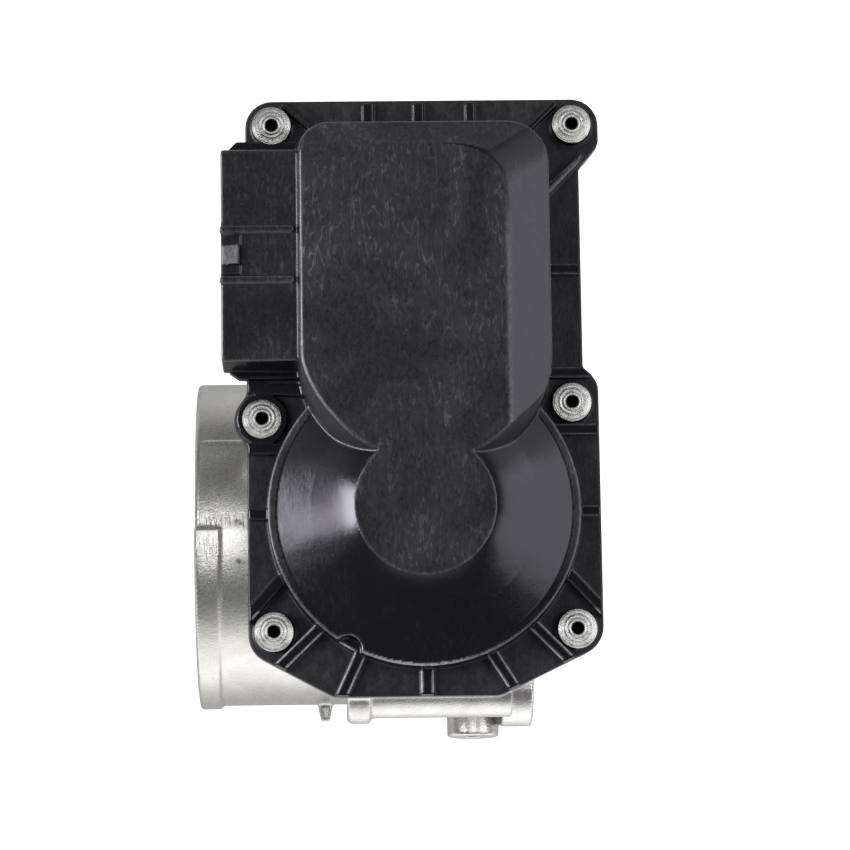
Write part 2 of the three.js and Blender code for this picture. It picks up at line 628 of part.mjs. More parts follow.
addHousing();
addCover();
addRivets();
addThrottle();
addSectorGear();
addReturnSpring();
addIdler();
addMotor();
addSensor();

export default throttleBody;
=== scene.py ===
"""Looks of an electronic throttle body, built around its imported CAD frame.

The casting, the cover and the small turned pieces are modelled as distance fields in millimetres,
in a working frame whose origin is where the bore axis crosses the throttle shaft: +X along the
bore to the manifold, +Y to the motor, +Z to the cover. The row frame's origin lies on the manifold
flange face, so finished meshes are moved along X and scaled to metres.
"""
import json
import math

import bpy
import numpy as np
import openvdb
from mathutils import Matrix, Vector


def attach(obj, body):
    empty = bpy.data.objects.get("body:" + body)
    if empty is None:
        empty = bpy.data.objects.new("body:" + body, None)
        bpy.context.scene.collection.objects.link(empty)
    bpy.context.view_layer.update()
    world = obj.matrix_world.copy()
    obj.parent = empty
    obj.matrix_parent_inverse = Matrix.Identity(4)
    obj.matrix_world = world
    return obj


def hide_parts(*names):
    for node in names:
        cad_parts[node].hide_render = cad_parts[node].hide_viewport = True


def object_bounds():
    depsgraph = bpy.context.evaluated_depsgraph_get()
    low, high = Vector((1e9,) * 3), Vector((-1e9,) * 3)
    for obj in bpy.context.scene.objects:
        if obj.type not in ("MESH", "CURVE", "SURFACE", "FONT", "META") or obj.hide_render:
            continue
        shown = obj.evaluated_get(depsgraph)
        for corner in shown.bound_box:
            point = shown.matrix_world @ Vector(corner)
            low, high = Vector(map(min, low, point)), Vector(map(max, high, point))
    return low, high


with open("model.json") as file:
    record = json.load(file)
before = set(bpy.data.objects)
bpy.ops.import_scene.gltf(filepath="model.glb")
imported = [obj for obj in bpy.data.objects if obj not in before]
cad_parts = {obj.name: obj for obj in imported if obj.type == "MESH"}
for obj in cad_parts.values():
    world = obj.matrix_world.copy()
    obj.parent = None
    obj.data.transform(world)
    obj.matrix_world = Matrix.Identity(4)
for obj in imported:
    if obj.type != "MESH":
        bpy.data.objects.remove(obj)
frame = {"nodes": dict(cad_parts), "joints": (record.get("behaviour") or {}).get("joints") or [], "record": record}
cad_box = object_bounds()

MM = 0.001
joint_places = {joint["name"]: joint["pos_m"] for joint in frame["joints"]}
SHAFT_X = joint_places["throttle_turn"][0]
COVER_VOXEL, HOUSING_VOXEL = ((0.33, 0.5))

# ---------- dimensions shared by the pieces, in millimetres in the working frame ----------
BORE_R = 35.0
BARREL_R, BARREL_RISE = 38.2, 1.1
BEAD_R, BEAD_RISE = 38.6, 0.7
SPIGOT_END = -52.0
BEAD_LENGTH = 5.8
FLANGE_FACE = 24.5
FLANGE_THICK = 6.0
FLANGE_OUTLINE = [(46, -41, 10), (46, 41, 10), (-46, 41, 10), (-33.2, -41, 8)]  # y, z, corner radius
FLANGE_BOLTS = [(36, 31), (36, -31), (-36, 31), (-27.5, -33.5)]
FLANGE_BOLT_R = 3.5
TRAY_TOP = 52.0
TRAY_RIM_LOW = 48.6
TRAY_FLOOR_TOP = 41.0
TRAY_FLOOR_LOW = 38.0
COVER_LOW = 52.3
COVER_TOP = 55.3
WALL = 2.4
DOME_RIM = 61.5
DOME_TOP = 70.5
GEAR_DOME_R = 34.9
GEAR_DISC_R = 15.6
MOTOR = (0.8, 61.6)
MOTOR_POCKET_R = 22.0
POCKET_LOW = -22.0
SHAFT_BOSS_R = 10.5
REAR_BOSS_LOW = -45.8
SOCKET_FACE = -44.8
SOCKET_Y = (32.6, 81.0)
SOCKET_Z = (53.5, 68.5)
SOCKET_FROM = -27.6  # the socket's own part of the cover lies below this x
LATCH_Y = 56.8
BEVEL_FROM = 19.3  # where the motor dome's right bevel leaves the roof
RIB_LOW, RIB_TOP = 53.0, 56.9
CORNER_RIB_TOP = 58.2
RAIL = (-38.0, 42.0)  # y, z
RAIL_R, RAIL_END_R = 6.6, 7.8
PORT = (11.2, 27.0)  # x, z
PARTING_FROM = -39.5  # the spigot's parting line runs from its end to this x
RIVET_LOBE_R = 6.2
RIVET_HOLE_R = 2.6
RIVET_BORE_R = 1.22
TURNED_SEGMENTS = 72
RIVETS = {
    "top_left": (-33.5, 89.1), "top_right": (34.8, 89.0),
    "middle_left": (-36.1, 21.6), "middle_right": (33.6, 24.7),
    "bottom_left": (-33.8, -26.5), "bottom_right": (33.8, -26.5),
}
OUTLINE = [  # corner x, corner y, corner radius, anticlockwise
    (-20.5, -41.1, 5), (16.5, -41.1, 5), (39.8, -29.8, 6.5), (39.8, 29.9, 5.5), (36.4, 33.0, 1.5),
    (36.4, 79.0, 2), (41.0, 84.6, 4), (41.0, 95.4, 6.2), (-39.5, 95.4, 6.2), (-39.5, -30.7, 6.2),
]


# ---------- camera, floor and light ----------
CAMERA_LEAN, CAMERA_PAN, CAMERA_ROLL = 9.8, 1.5, -0.85  # degrees
CAMERA_AIM = Vector((SHAFT_X, 0.0167, 0.07504))
CAMERA_DISTANCE = 0.83
CAMERA_LENS, CAMERA_SENSOR = 160.0, 36.0  # millimetres
FLOOR_REACH = 3.0
# name, bearing from +X and climb in degrees, width and height in metres, radiance
SOFTBOXES = [
    ("left_softbox", 178, 44, (0.18, 0.36), 6.2),
    ("left_second", 167.5, 44, (0.17, 0.38), 2.2),
    ("left_third", 155, 43, (0.24, 0.40), 0.7),
    ("left_fill", 139, 42, (0.28, 0.42), 0.4),
    ("right_softbox", 4, 42, (0.85, 0.70), 2.1),
    ("corner_softbox", 45, 36, (0.50, 0.50), 0.9),
    ("back_softbox", 90, 30, (0.90, 0.25), 0.4),
]
PLASTIC_SOFTBOX = ("left_low_strip", 173, 20, (0.50, 0.46), 15.0)
METAL_SOFTBOX = ("metal_softbox", 270, 88, (0.58, 0.60), 2.4)
WORLD_HORIZON, WORLD_TOP, WORLD_FRONT = 0.22, 0.15, 1.65
FLOOR_GLOW = 0.9  # what the camera sees
FLOOR_FRONT, FLOOR_NEAR = 1.3, 0.1  # what the part reflects, in front of it and elsewhere
LIGHTS_CENTRE = Vector((SHAFT_X, 0.0, 0.06))


def add_camera():
    """Looks down on the cover through a long lens, leaning a little towards the lower edge."""
    lean, pan, roll = map(math.radians, (CAMERA_LEAN, CAMERA_PAN, CAMERA_ROLL))
    back = Vector((-math.sin(pan) * math.cos(lean), -math.sin(lean), math.cos(lean) * math.cos(pan)))
    back.normalize()
    right = Vector((0, 1, 0)).cross(back).normalized()
    up = back.cross(right)
    turned_right = right * math.cos(roll) + up * math.sin(roll)
    turned_up = up * math.cos(roll) - right * math.sin(roll)
    place = CAMERA_AIM + back * CAMERA_DISTANCE
    camera = bpy.data.cameras.new("camera")
    camera.sensor_width = CAMERA_SENSOR
    camera.lens = CAMERA_LENS
    camera.clip_start = 0.05
    camera.clip_end = 20.0
    seat = bpy.data.objects.new("camera", camera)
    turn = Matrix((turned_right, turned_up, back)).transposed().to_4x4()
    seat.matrix_world = Matrix.Translation(place) @ turn
    bpy.context.scene.collection.objects.link(seat)
    bpy.context.scene.camera = seat


def add_area(name, place, aim, size, power):
    light = bpy.data.lights.new(name, "AREA")
    light.shape = "RECTANGLE"
    light.size, light.size_y = size
    light.energy = power
    holder = bpy.data.objects.new(name, light)
    holder.location = place
    direction = Vector(aim) - Vector(place)
    holder.rotation_euler = direction.to_track_quat("-Z", "Y").to_euler()
    holder.visible_camera = False
    bpy.context.scene.collection.objects.link(holder)
    return holder


def add_stage():
    """A square sheet of paper under the part."""
    low, reach = cad_box[0][2], FLOOR_REACH
    mesh = bpy.data.meshes.new("floor")
    corners = [(x * reach, y * reach, low) for x, y in ((-1, -1), (1, -1), (1, 1), (-1, 1))]
    mesh.from_pydata(corners, [], [(0, 1, 2, 3)])
    floor = bpy.data.objects.new("floor", mesh)
    bpy.context.scene.collection.objects.link(floor)
    floor.data.materials.append(floor_material())


def floor_material():
    """Pale paper: bright to the camera, and to the part only where it lies in front of it."""
    material, nodes, links, shader = new_material("floor_paper")
    shader.inputs["Roughness"].default_value = 0.9
    shader.inputs["Emission Color"].default_value = (1, 1, 1, 1)
    path = nodes.new("ShaderNodeLightPath")
    split = nodes.new("ShaderNodeSeparateXYZ")
    links.new(coordinates(nodes, links), split.inputs["Vector"])
    bounce = add_range(nodes, links, split.outputs["Y"], -0.07, -0.20, FLOOR_NEAR, FLOOR_FRONT)
    seen = add_math(nodes, links, "MULTIPLY", path.outputs["Is Camera Ray"], FLOOR_GLOW)
    links.new(add_math(nodes, links, "MAXIMUM", bounce, seen), shader.inputs["Emission Strength"])
    noise = add_noise(nodes, links, 30.0, 3.0)
    tint = add_ramp(nodes, links, noise, (0.93, 0.93, 0.93), (0.96, 0.96, 0.96))
    links.new(tint, shader.inputs["Base Color"])
    return material


def add_world():
    """A dark studio with a bright low front. The camera itself sees the pale backdrop instead."""
    world = bpy.data.worlds.new("studio")
    bpy.context.scene.world = world
    world.use_nodes = True
    nodes, links = world.node_tree.nodes, world.node_tree.links
    studio = nodes["Background"]
    source = nodes.new("ShaderNodeTexCoord")
    split = nodes.new("ShaderNodeSeparateXYZ")
    links.new(source.outputs["Generated"], split.inputs["Vector"])
    height = add_range(nodes, links, split.outputs["Z"], 0.0, 0.5, WORLD_HORIZON, WORLD_TOP)
    front = add_range(nodes, links, split.outputs["Y"], -0.55, -0.95, 0.0, WORLD_FRONT)
    low = add_range(nodes, links, split.outputs["Z"], 0.0, 0.60, 1.0, 0.0)
    glow = add_math(nodes, links, "MULTIPLY", front, low)
    links.new(add_math(nodes, links, "ADD", height, glow), studio.inputs["Strength"])
    studio.inputs["Color"].default_value = (1, 1, 1, 1)
    backdrop = nodes.new("ShaderNodeBackground")
    backdrop.inputs["Strength"].default_value = 1.0
    chooser = nodes.new("ShaderNodeMixShader")
    path = nodes.new("ShaderNodeLightPath")
    links.new(path.outputs["Is Camera Ray"], chooser.inputs["Fac"])
    links.new(studio.outputs["Background"], chooser.inputs[1])
    links.new(backdrop.outputs["Background"], chooser.inputs[2])
    links.new(chooser.outputs["Shader"], nodes["World Output"].inputs["Surface"])


def add_softbox(name, bearing, climb, size, radiance):
    """An area light one metre from the part, facing it."""
    bearing, climb = math.radians(bearing), math.radians(climb)
    flat = math.cos(climb)
    away = Vector((math.cos(bearing) * flat, math.sin(bearing) * flat, math.sin(climb)))
    power = radiance * math.pi * size[0] * size[1]
    return add_area(name, LIGHTS_CENTRE + away, LIGHTS_CENTRE, size, power)


def link_to(light, pieces):
    """Lets a light fall on these pieces only."""
    lit = bpy.data.collections.new(light.name + "_pieces")
    for piece in pieces:
        lit.objects.link(piece)
    light.light_linking.receiver_collection = lit


def add_lights(cover, metal_pieces):
    """Softboxes round the part. The low strip lights the cover only, and the overhead the metal."""
    add_world()
    for softbox in SOFTBOXES:
        add_softbox(*softbox)
    link_to(add_softbox(*PLASTIC_SOFTBOX), [cover])
    link_to(add_softbox(*METAL_SOFTBOX), metal_pieces)


# ---------- materials ----------
CAST_RELIEF, PLASTIC_RELIEF, TURNED_RELIEF = 0.00006, 0.00003, 0.00004  # bump depths in metres


def new_material(name):
    material = bpy.data.materials.new(name)
    material.use_nodes = True
    nodes, links = material.node_tree.nodes, material.node_tree.links
    return material, nodes, links, nodes["Principled BSDF"]


def coordinates(nodes, links, stretch=(1, 1, 1)):
    """Object coordinates, which are the row frame's metres, stretched for grain that runs one way."""
    source = nodes.new("ShaderNodeTexCoord")
    mapping = nodes.new("ShaderNodeMapping")
    mapping.inputs["Scale"].default_value = stretch
    links.new(source.outputs["Object"], mapping.inputs["Vector"])
    return mapping.outputs["Vector"]


def add_noise(nodes, links, scale, detail=4.0, stretch=(1, 1, 1), roughness=0.55, distortion=0.0):
    noise = nodes.new("ShaderNodeTexNoise")
    noise.inputs["Scale"].default_value = scale
    noise.inputs["Detail"].default_value = detail
    noise.inputs["Roughness"].default_value = roughness
    noise.inputs["Distortion"].default_value = distortion
    links.new(coordinates(nodes, links, stretch), noise.inputs["Vector"])
    return noise.outputs["Fac"]


def add_ramp(nodes, links, value, low, high, start=0.3, end=0.7):
    ramp = nodes.new("ShaderNodeValToRGB")
    ramp.color_ramp.elements[0].position = start
    ramp.color_ramp.elements[1].position = end
    ramp.color_ramp.elements[0].color = (*low, 1)
    ramp.color_ramp.elements[1].color = (*high, 1)
    links.new(value, ramp.inputs["Fac"])
    return ramp.outputs["Color"]


def add_range(nodes, links, value, from_low, from_high, to_low, to_high):
    span = nodes.new("ShaderNodeMapRange")
    limits = {"From Min": from_low, "From Max": from_high, "To Min": to_low, "To Max": to_high}
    for name, number in limits.items():
        span.inputs[name].default_value = number
    links.new(value, span.inputs["Value"])
    return span.outputs["Result"]


def add_math(nodes, links, operation, first, second):
    node = nodes.new("ShaderNodeMath")
    node.operation = operation
    for socket, value in zip(node.inputs, (first, second)):
        if isinstance(value, (int, float)):
            socket.default_value = value
        else:
            links.new(value, socket)
    return node.outputs["Value"]


def add_bump(nodes, links, shader, height, distance, strength=1.0):
    bump = nodes.new("ShaderNodeBump")
    bump.inputs["Strength"].default_value = strength
    bump.inputs["Distance"].default_value = distance
    links.new(height, bump.inputs["Height"])
    links.new(bump.outputs["Normal"], shader.inputs["Normal"])


def add_attribute(nodes, name):
    source = nodes.new("ShaderNodeAttribute")
    source.attribute_name = name
    return source.outputs["Fac"]


def add_sum(nodes, links, base, *terms):
    """base plus every (value, weight)."""
    total = base
    for value, weight in terms:
        term = add_math(nodes, links, "MULTIPLY", value, weight)
        total = add_math(nodes, links, "ADD", term, total)
    return total


def add_hairs(nodes, links, scale, width, stretch=(1, 1, 1), distortion=0.0):
    """Thin wandering lines: the places where a noise crosses its middle value."""
    noise = add_noise(nodes, links, scale, 2.0, stretch, 0.45, distortion)
    centred = add_math(nodes, links, "SUBTRACT", noise, 0.5)
    off_middle = add_math(nodes, links, "ABSOLUTE", centred, 0.0)
    return add_range(nodes, links, off_middle, 0.0, width, 1.0, 0.0)


def add_shade(nodes, links, colour, value):
    """A colour multiplied by a value."""
    mix = nodes.new("ShaderNodeMix")
    mix.data_type = "RGBA"
    mix.blend_type = "MULTIPLY"
    mix.inputs["Factor"].default_value = 1.0
    links.new(colour, mix.inputs["A"])
    links.new(value, mix.inputs["B"])
    return mix.outputs["Result"]


def cast_aluminium_material():
    """Die-cast skin: fine grain, flow clouds and a few stains. Machined faces are smoother.

    Speckles show where the grime mask is set, and short tool strokes where the marked one is.
    """
    material, nodes, links, shader = new_material("cast_aluminium")
    shader.inputs["Metallic"].default_value = 1.0
    machined = add_attribute(nodes, "machined")
    grime = add_attribute(nodes, "grime")
    marked = add_attribute(nodes, "marked")
    strokes = add_noise(nodes, links, 1500.0, 1.0, stretch=(1.0, 0.10, 0.10), distortion=0.3)
    grain = add_noise(nodes, links, 2400.0, 3.0)
    clouds = add_noise(nodes, links, 90.0, 5.0, distortion=0.6)
    stain = add_noise(nodes, links, 160.0, 2.0, distortion=1.2)
    specks = add_noise(nodes, links, 900.0, 2.0)
    skin = add_ramp(nodes, links, clouds, (0.52, 0.512, 0.495), (0.66, 0.652, 0.632))
    dark_specks = add_range(nodes, links, specks, 0.42, 0.60, 0.0, 0.8)
    spotted = add_math(nodes, links, "MULTIPLY", grime, dark_specks)
    stained = add_range(nodes, links, stain, 0.70, 0.78, 1.0, 0.78)
    clean = add_math(nodes, links, "SUBTRACT", stained, spotted)
    cut_face = nodes.new("ShaderNodeMix")
    cut_face.data_type = "RGBA"
    cut_face.inputs["B"].default_value = (0.70, 0.70, 0.69, 1)
    links.new(machined, cut_face.inputs["Factor"])
    links.new(add_shade(nodes, links, skin, clean), cut_face.inputs["A"])
    links.new(cut_face.outputs["Result"], shader.inputs["Base Color"])
    rough = add_range(nodes, links, grain, 0.3, 0.7, 0.24, 0.35)
    roughness = add_sum(nodes, links, rough, (machined, -0.10), (grime, 0.15))
    links.new(roughness, shader.inputs["Roughness"])
    height = add_sum(nodes, links, grain, (clouds, 0.6))
    keep = add_range(nodes, links, machined, 0.0, 1.0, 1.0, 0.12)
    skin_relief = add_math(nodes, links, "MULTIPLY", height, keep)
    centred = add_math(nodes, links, "SUBTRACT", strokes, 0.5)
    struck = add_math(nodes, links, "MULTIPLY", marked, centred)
    relief = add_sum(nodes, links, skin_relief, (struck, 6.0))
    add_bump(nodes, links, shader, relief, CAST_RELIEF)
    return material


def black_plastic_material():
    """Glass-filled nylon: glossy walls and ribs, and four masks for what differs.

    The masks are a grained flange floor, scuffed tops (with a painted reflection on the gear dome's ledge), pale
    edges that are partly wear and partly painted highlight, and dull walls.
    """
    material, nodes, links, shader = new_material("black_plastic")
    grained, scuffs_and_sheen, edge_wear_and_highlight, dull = (
        add_attribute(nodes, name) for name in ("grained", "scuffs_and_sheen", "edge_wear_and_highlight", "dull"))
    grain = add_noise(nodes, links, 1900.0, 2.0)
    clouds = add_noise(nodes, links, 34.0, 5.0, roughness=0.58, distortion=0.9)
    hatch = add_noise(
        nodes, links, 1300.0, 5.0, stretch=(1.0, 0.5, 1.0), roughness=0.75, distortion=0.6)
    swell = add_noise(nodes, links, 120.0, 1.0)
    mottle = add_noise(nodes, links, 420.0, 4.0, (1.0, 0.45, 1.0), 0.7)
    blotches = add_range(nodes, links, mottle, 0.35, 0.65, 0.0, 1.0)
    fine = add_hairs(nodes, links, 620.0, 0.034, (1.0, 0.2, 1.0), 0.35)
    long_hairs = add_hairs(nodes, links, 95.0, 0.008, distortion=1.8)
    swirls = add_math(nodes, links, "MULTIPLY", long_hairs, 0.22)
    patches = add_range(nodes, links, clouds, 0.40, 0.66, 0.0, 1.0)
    broken = add_range(nodes, links, hatch, 0.38, 0.62, 0.0, 1.0)
    all_hairs = add_math(nodes, links, "MAXIMUM", swirls, fine)
    lines = add_math(nodes, links, "MULTIPLY", all_hairs, broken)
    hatched = add_range(nodes, links, hatch, 0.2, 0.8, -0.5, 0.5)
    haze = add_sum(nodes, links, 0.52, (patches, 0.50), (hatched, 0.95), (blotches, 0.12))
    least_haze = add_math(nodes, links, "MAXIMUM", haze, 0.36)
    scuff_and_sheen_haze = add_math(nodes, links, "MULTIPLY", scuffs_and_sheen, least_haze)
    # Pale edges, partly wear and partly painted highlight, broken up by the hatch noise.
    chipped = add_range(nodes, links, hatch, 0.35, 0.60, 0.35, 1.0)
    edge_wear_and_highlight_chips = add_math(nodes, links, "MULTIPLY", edge_wear_and_highlight, chipped)
    patchy_lines = add_math(nodes, links, "MULTIPLY", lines, patches)
    exposure = add_sum(nodes, links, 0.12, (scuffs_and_sheen, 0.88))
    rubbed = add_math(nodes, links, "MULTIPLY", patchy_lines, exposure)
    dust = add_sum(nodes, links, -0.03, (blotches, 0.19), (patches, 0.03), (hatched, 0.34))
    dusty = add_math(nodes, links, "MULTIPLY", grained, dust)
    pale = add_sum(
        nodes, links, 0.0, (dusty, 0.235), (scuff_and_sheen_haze, 0.061), (rubbed, 0.26), (edge_wear_and_highlight_chips, 0.32))
    tint = add_ramp(
        nodes, links, pale, (0.0042, 0.0041, 0.0050), (0.39, 0.385, 0.42), 0.0, 1.0)
    links.new(tint, shader.inputs["Base Color"])
    shader.inputs["Specular Tint"].default_value = (0.93, 0.91, 1.0, 1.0)
    rough = add_sum(
        nodes, links, 0.17,
        (grained, 0.30), (scuff_and_sheen_haze, 0.20), (patches, 0.05), (hatched, 0.12), (dull, 0.65))
    links.new(rough, shader.inputs["Roughness"])
    coarse = add_sum(nodes, links, 0.30, (grained, 1.6))
    grain_relief = add_math(nodes, links, "MULTIPLY", grain, coarse)
    height = add_sum(nodes, links, grain_relief, (hatch, 0.9), (swell, 5.0))
    add_bump(nodes, links, shader, height, PLASTIC_RELIEF)
    return material


def turned_metal_material(name, low, high, roughness=(0.22, 0.42), metallic=1.0, ringed=False):
    """Turned metal. A ringed piece carries its radius, which drives tool rings and a painted shade that darkens
    the bore.
    """
    material, nodes, links, shader = new_material(name)
    shader.inputs["Metallic"].default_value = metallic
    mottle = add_noise(nodes, links, 700.0, 5.0, roughness=0.65)
    fine = add_noise(nodes, links, 3200.0, 2.0)
    colour = add_ramp(nodes, links, mottle, low, high)
    height = add_math(nodes, links, "ADD", fine, mottle)
    if ringed:
        radius = add_attribute(nodes, "ring_radius")
        rings = nodes.new("ShaderNodeTexNoise")
        rings.noise_dimensions = "1D"
        rings.inputs["Scale"].default_value = 5.5
        rings.inputs["Detail"].default_value = 3.0
        links.new(radius, rings.inputs["W"])
        height = add_sum(nodes, links, height, (rings.outputs["Fac"], 3.0))
        # Painted shade: the colour is darkened inside the bore.
        lit = add_range(nodes, links, radius, RIVET_BORE_R, 1.65, 0.04, 1.0)
        streaks = add_range(nodes, links, rings.outputs["Fac"], 0.3, 0.7, 0.7, 1.1)
        colour = add_shade(
            nodes, links, colour, add_math(nodes, links, "MULTIPLY", lit, streaks))
    links.new(colour, shader.inputs["Base Color"])
    links.new(add_range(nodes, links, mottle, 0.3, 0.7, *roughness), shader.inputs["Roughness"])
    add_bump(nodes, links, shader, height, TURNED_RELIEF)
    return material


def moulded_material(name, low, high, roughness=(0.45, 0.65), grain_scale=1400.0):
    material, nodes, links, shader = new_material(name)
    clouds = add_noise(nodes, links, 120.0, 4.0)
    grain = add_noise(nodes, links, grain_scale, 2.0)
    links.new(add_ramp(nodes, links, clouds, low, high), shader.inputs["Base Color"])
    links.new(add_range(nodes, links, grain, 0.3, 0.7, *roughness), shader.inputs["Roughness"])
    add_bump(nodes, links, shader, grain, PLASTIC_RELIEF)
    return material


# ---------- distance fields ----------
FAR = 9.0


class Solid:
    """A distance field on a grid in millimetres. Each shape joins or cuts it in its own window."""

    def __init__(self, low, high, voxel):
        self.low = np.array(low, np.float32)
        self.voxel = voxel
        self.axes = [np.arange(a, b + voxel, voxel, dtype=np.float32) for a, b in zip(low, high)]
        self.values = np.full([len(axis) for axis in self.axes], FAR, np.float32)

    def window(self, box):
        """The slices of the grid that a box of (low, high) pairs covers, and their coordinates."""
        spots = []
        for axis, span in zip(self.axes, box or [None] * 3):
            if span is None:
                spots.append(slice(0, len(axis)))
            else:
                spots.append(slice(*np.searchsorted(axis, span)))
        x, y, z = (axis[spot] for axis, spot in zip(self.axes, spots))
        return tuple(spots), x[:, None, None], y[None, :, None], z[None, None, :]

    def join(self, shape, box=None, blend=0.0):
        spots, x, y, z = self.window(box)
        self.values[spots] = union(self.values[spots], shape(x, y, z), blend)

    def cut(self, shape, box=None, blend=0.0):
        spots, x, y, z = self.window(box)
        self.values[spots] = -union(-self.values[spots], shape(x, y, z), blend)


def near(place, reach, z=None):
    """The window round a place, with all of z or a given span of it."""
    return ((place[0] - reach, place[0] + reach), (place[1] - reach, place[1] + reach), z)


def length2(a, b):
    return np.sqrt(a * a + b * b)


def union(first, second, blend=0.0):
    """Joins two fields; blend is the size of the fillet between them."""
    if blend <= 0:
        return np.minimum(first, second)
    rest = np.maximum(blend - np.abs(first - second), 0)
    return np.minimum(first, second) - rest * rest / (4 * blend)


def common(first, second, blend=0.0):
    return -union(-first, -second, blend)


def outside_box(a, b):
    return length2(np.maximum(a, 0), np.maximum(b, 0)) + np.minimum(np.maximum(a, b), 0)


def prism(flat, z, low, high, edge=0.4):
    """A flat shape's field drawn out along z, with its edges rounded."""
    return outside_box(flat + edge, np.abs(z - (low + high) / 2) - (high - low) / 2 + edge) - edge


def box2(u, v, low, high, corner=0.0):
    a = np.abs(u - (low[0] + high[0]) / 2) - (high[0] - low[0]) / 2 + corner
    b = np.abs(v - (low[1] + high[1]) / 2) - (high[1] - low[1]) / 2 + corner
    return outside_box(a, b) - corner


def disc2(u, v, centre, radius):
    return length2(u - centre[0], v - centre[1]) - radius


def bar2(u, v, start, end, half_width):
    """A straight bar with square ends."""
    reach = math.dist(start, end)
    cos, sin = (end[0] - start[0]) / reach, (end[1] - start[1]) / reach
    middle = ((start[0] + end[0]) / 2, (start[1] + end[1]) / 2)
    along = np.abs((u - middle[0]) * cos + (v - middle[1]) * sin) - reach / 2
    across = np.abs((v - middle[1]) * cos - (u - middle[0]) * sin) - half_width
    return outside_box(along, across)


def capsule2(u, v, start, end, half_width):
    """A straight bar with round ends."""
    reach = math.dist(start, end)
    cos, sin = (end[0] - start[0]) / reach, (end[1] - start[1]) / reach
    along = np.clip((u - start[0]) * cos + (v - start[1]) * sin, 0, reach)
    return length2(u - start[0] - along * cos, v - start[1] - along * sin) - half_width


def polygon2(u, v, points):
    """Signed distance to a closed polygon, negative inside."""
    shape = np.broadcast(u, v).shape
    nearest = np.full(shape, 1e9, np.float32)
    crossings = np.zeros(shape, bool)
    for (ax, ay), (bx, by) in zip(points, points[1:] + points[:1]):
        ex, ey = bx - ax, by - ay
        wx, wy = u - ax, v - ay
        t = np.clip((wx * ex + wy * ey) / (ex * ex + ey * ey), 0, 1)
        nearest = np.minimum(nearest, (wx - ex * t) ** 2 + (wy - ey * t) ** 2)
        spans = (v >= min(ay, by)) & (v < max(ay, by))
        crossings ^= spans & ((ex * wy > ey * wx) == (by > ay))
    return np.where(crossings, -1, 1) * np.sqrt(nearest)


def rounded_points(corners, steps=10):
    """The outline's points, with each corner rounded to its own radius."""
    points = []
    count = len(corners)
    for i, (x, y, radius) in enumerate(corners):
        here = Vector((x, y))
        back = (Vector(corners[i - 1][:2]) - here).normalized()
        on = (Vector(corners[(i + 1) % count][:2]) - here).normalized()
        half = back.angle(on) / 2
        centre = here + (back + on).normalized() * (radius / math.sin(half))
        start = here + back * (radius / math.tan(half)) - centre
        end = here + on * (radius / math.tan(half)) - centre
        sweep = math.atan2(start.x * end.y - start.y * end.x, start.dot(end))
        first = math.atan2(start.y, start.x)
        for step in range(steps + 1):
            turn = first + sweep * step / steps
            points.append((centre.x + radius * math.cos(turn), centre.y + radius * math.sin(turn)))
    return points


def to_piece(name, solid):
    """Meshes a field's surface, moves the points exactly onto it and shades it by the slope."""
    grid = openvdb.FloatGrid(FAR)
    grid.copyFromArray(solid.values)
    points, triangles, quads = grid.convertToPolygons(0.0, 0.0)
    places = points.astype(np.float64)
    for _ in range(3):
        slope = field_slope(solid.values, places)
        size = np.maximum(np.linalg.norm(slope, axis=1), 0.2)
        step = np.clip(-sample(solid.values, places) / (size * solid.voxel), -0.5, 0.5)
        places += slope / size[:, None] * step[:, None] * solid.voxel
    slope = field_slope(solid.values, places)
    normals = slope / np.maximum(np.linalg.norm(slope, axis=1), 1e-6)[:, None]
    bend = field_bend(solid.values, places) / solid.voxel ** 2
    places = places * solid.voxel + solid.low
    mesh = bpy.data.meshes.new(name)
    rows = ((places + (SHAFT_X / MM, 0, 0)) * MM).tolist()
    mesh.from_pydata(rows, [], triangles[:, ::-1].tolist() + quads[:, ::-1].tolist())
    first = mesh.polygons[0]
    if Vector(normals[first.vertices[0]]).dot(first.normal) < 0:
        mesh.flip_normals()
    mesh.polygons.foreach_set("use_smooth", [True] * len(mesh.polygons))
    mesh.normals_split_custom_set_from_vertices(normals.tolist())
    piece = bpy.data.objects.new(name, mesh)
    bpy.context.scene.collection.objects.link(piece)
    return piece, places, normals, bend


def sample(values, places):
    """Trilinear value of the grid at points given in voxels."""
    base = np.clip(np.floor(places).astype(int), 0, np.array(values.shape) - 2)
    part = np.clip(places - base, 0, 1)
    total = np.zeros(len(places))
    for dx in (0, 1):
        for dy in (0, 1):
            for dz in (0, 1):
                weight = np.abs(1 - dx - part[:, 0]) * np.abs(1 - dy - part[:, 1])
                weight *= np.abs(1 - dz - part[:, 2])
                total += weight * values[base[:, 0] + dx, base[:, 1] + dy, base[:, 2] + dz]
    return total


def field_slope(values, places, reach=0.6):
    slope = np.zeros((len(places), 3))
    for axis in range(3):
        step = np.zeros(3)
        step[axis] = reach
        slope[:, axis] = (sample(values, places + step) - sample(values, places - step)) / (2 * reach)
    return slope


def field_bend(values, places):
    """How strongly the surface curves, per square voxel: positive on edges, negative in corners."""
    total = -6 * sample(values, places)
    for axis in range(3):
        step = np.zeros(3)
        step[axis] = 1
        total += sample(values, places + step) + sample(values, places - step)
    return total


def paint(piece, attribute, values):
    layer = piece.data.attributes.new(attribute, "FLOAT", "POINT")
    layer.data.foreach_set("value", np.asarray(values, np.float32))


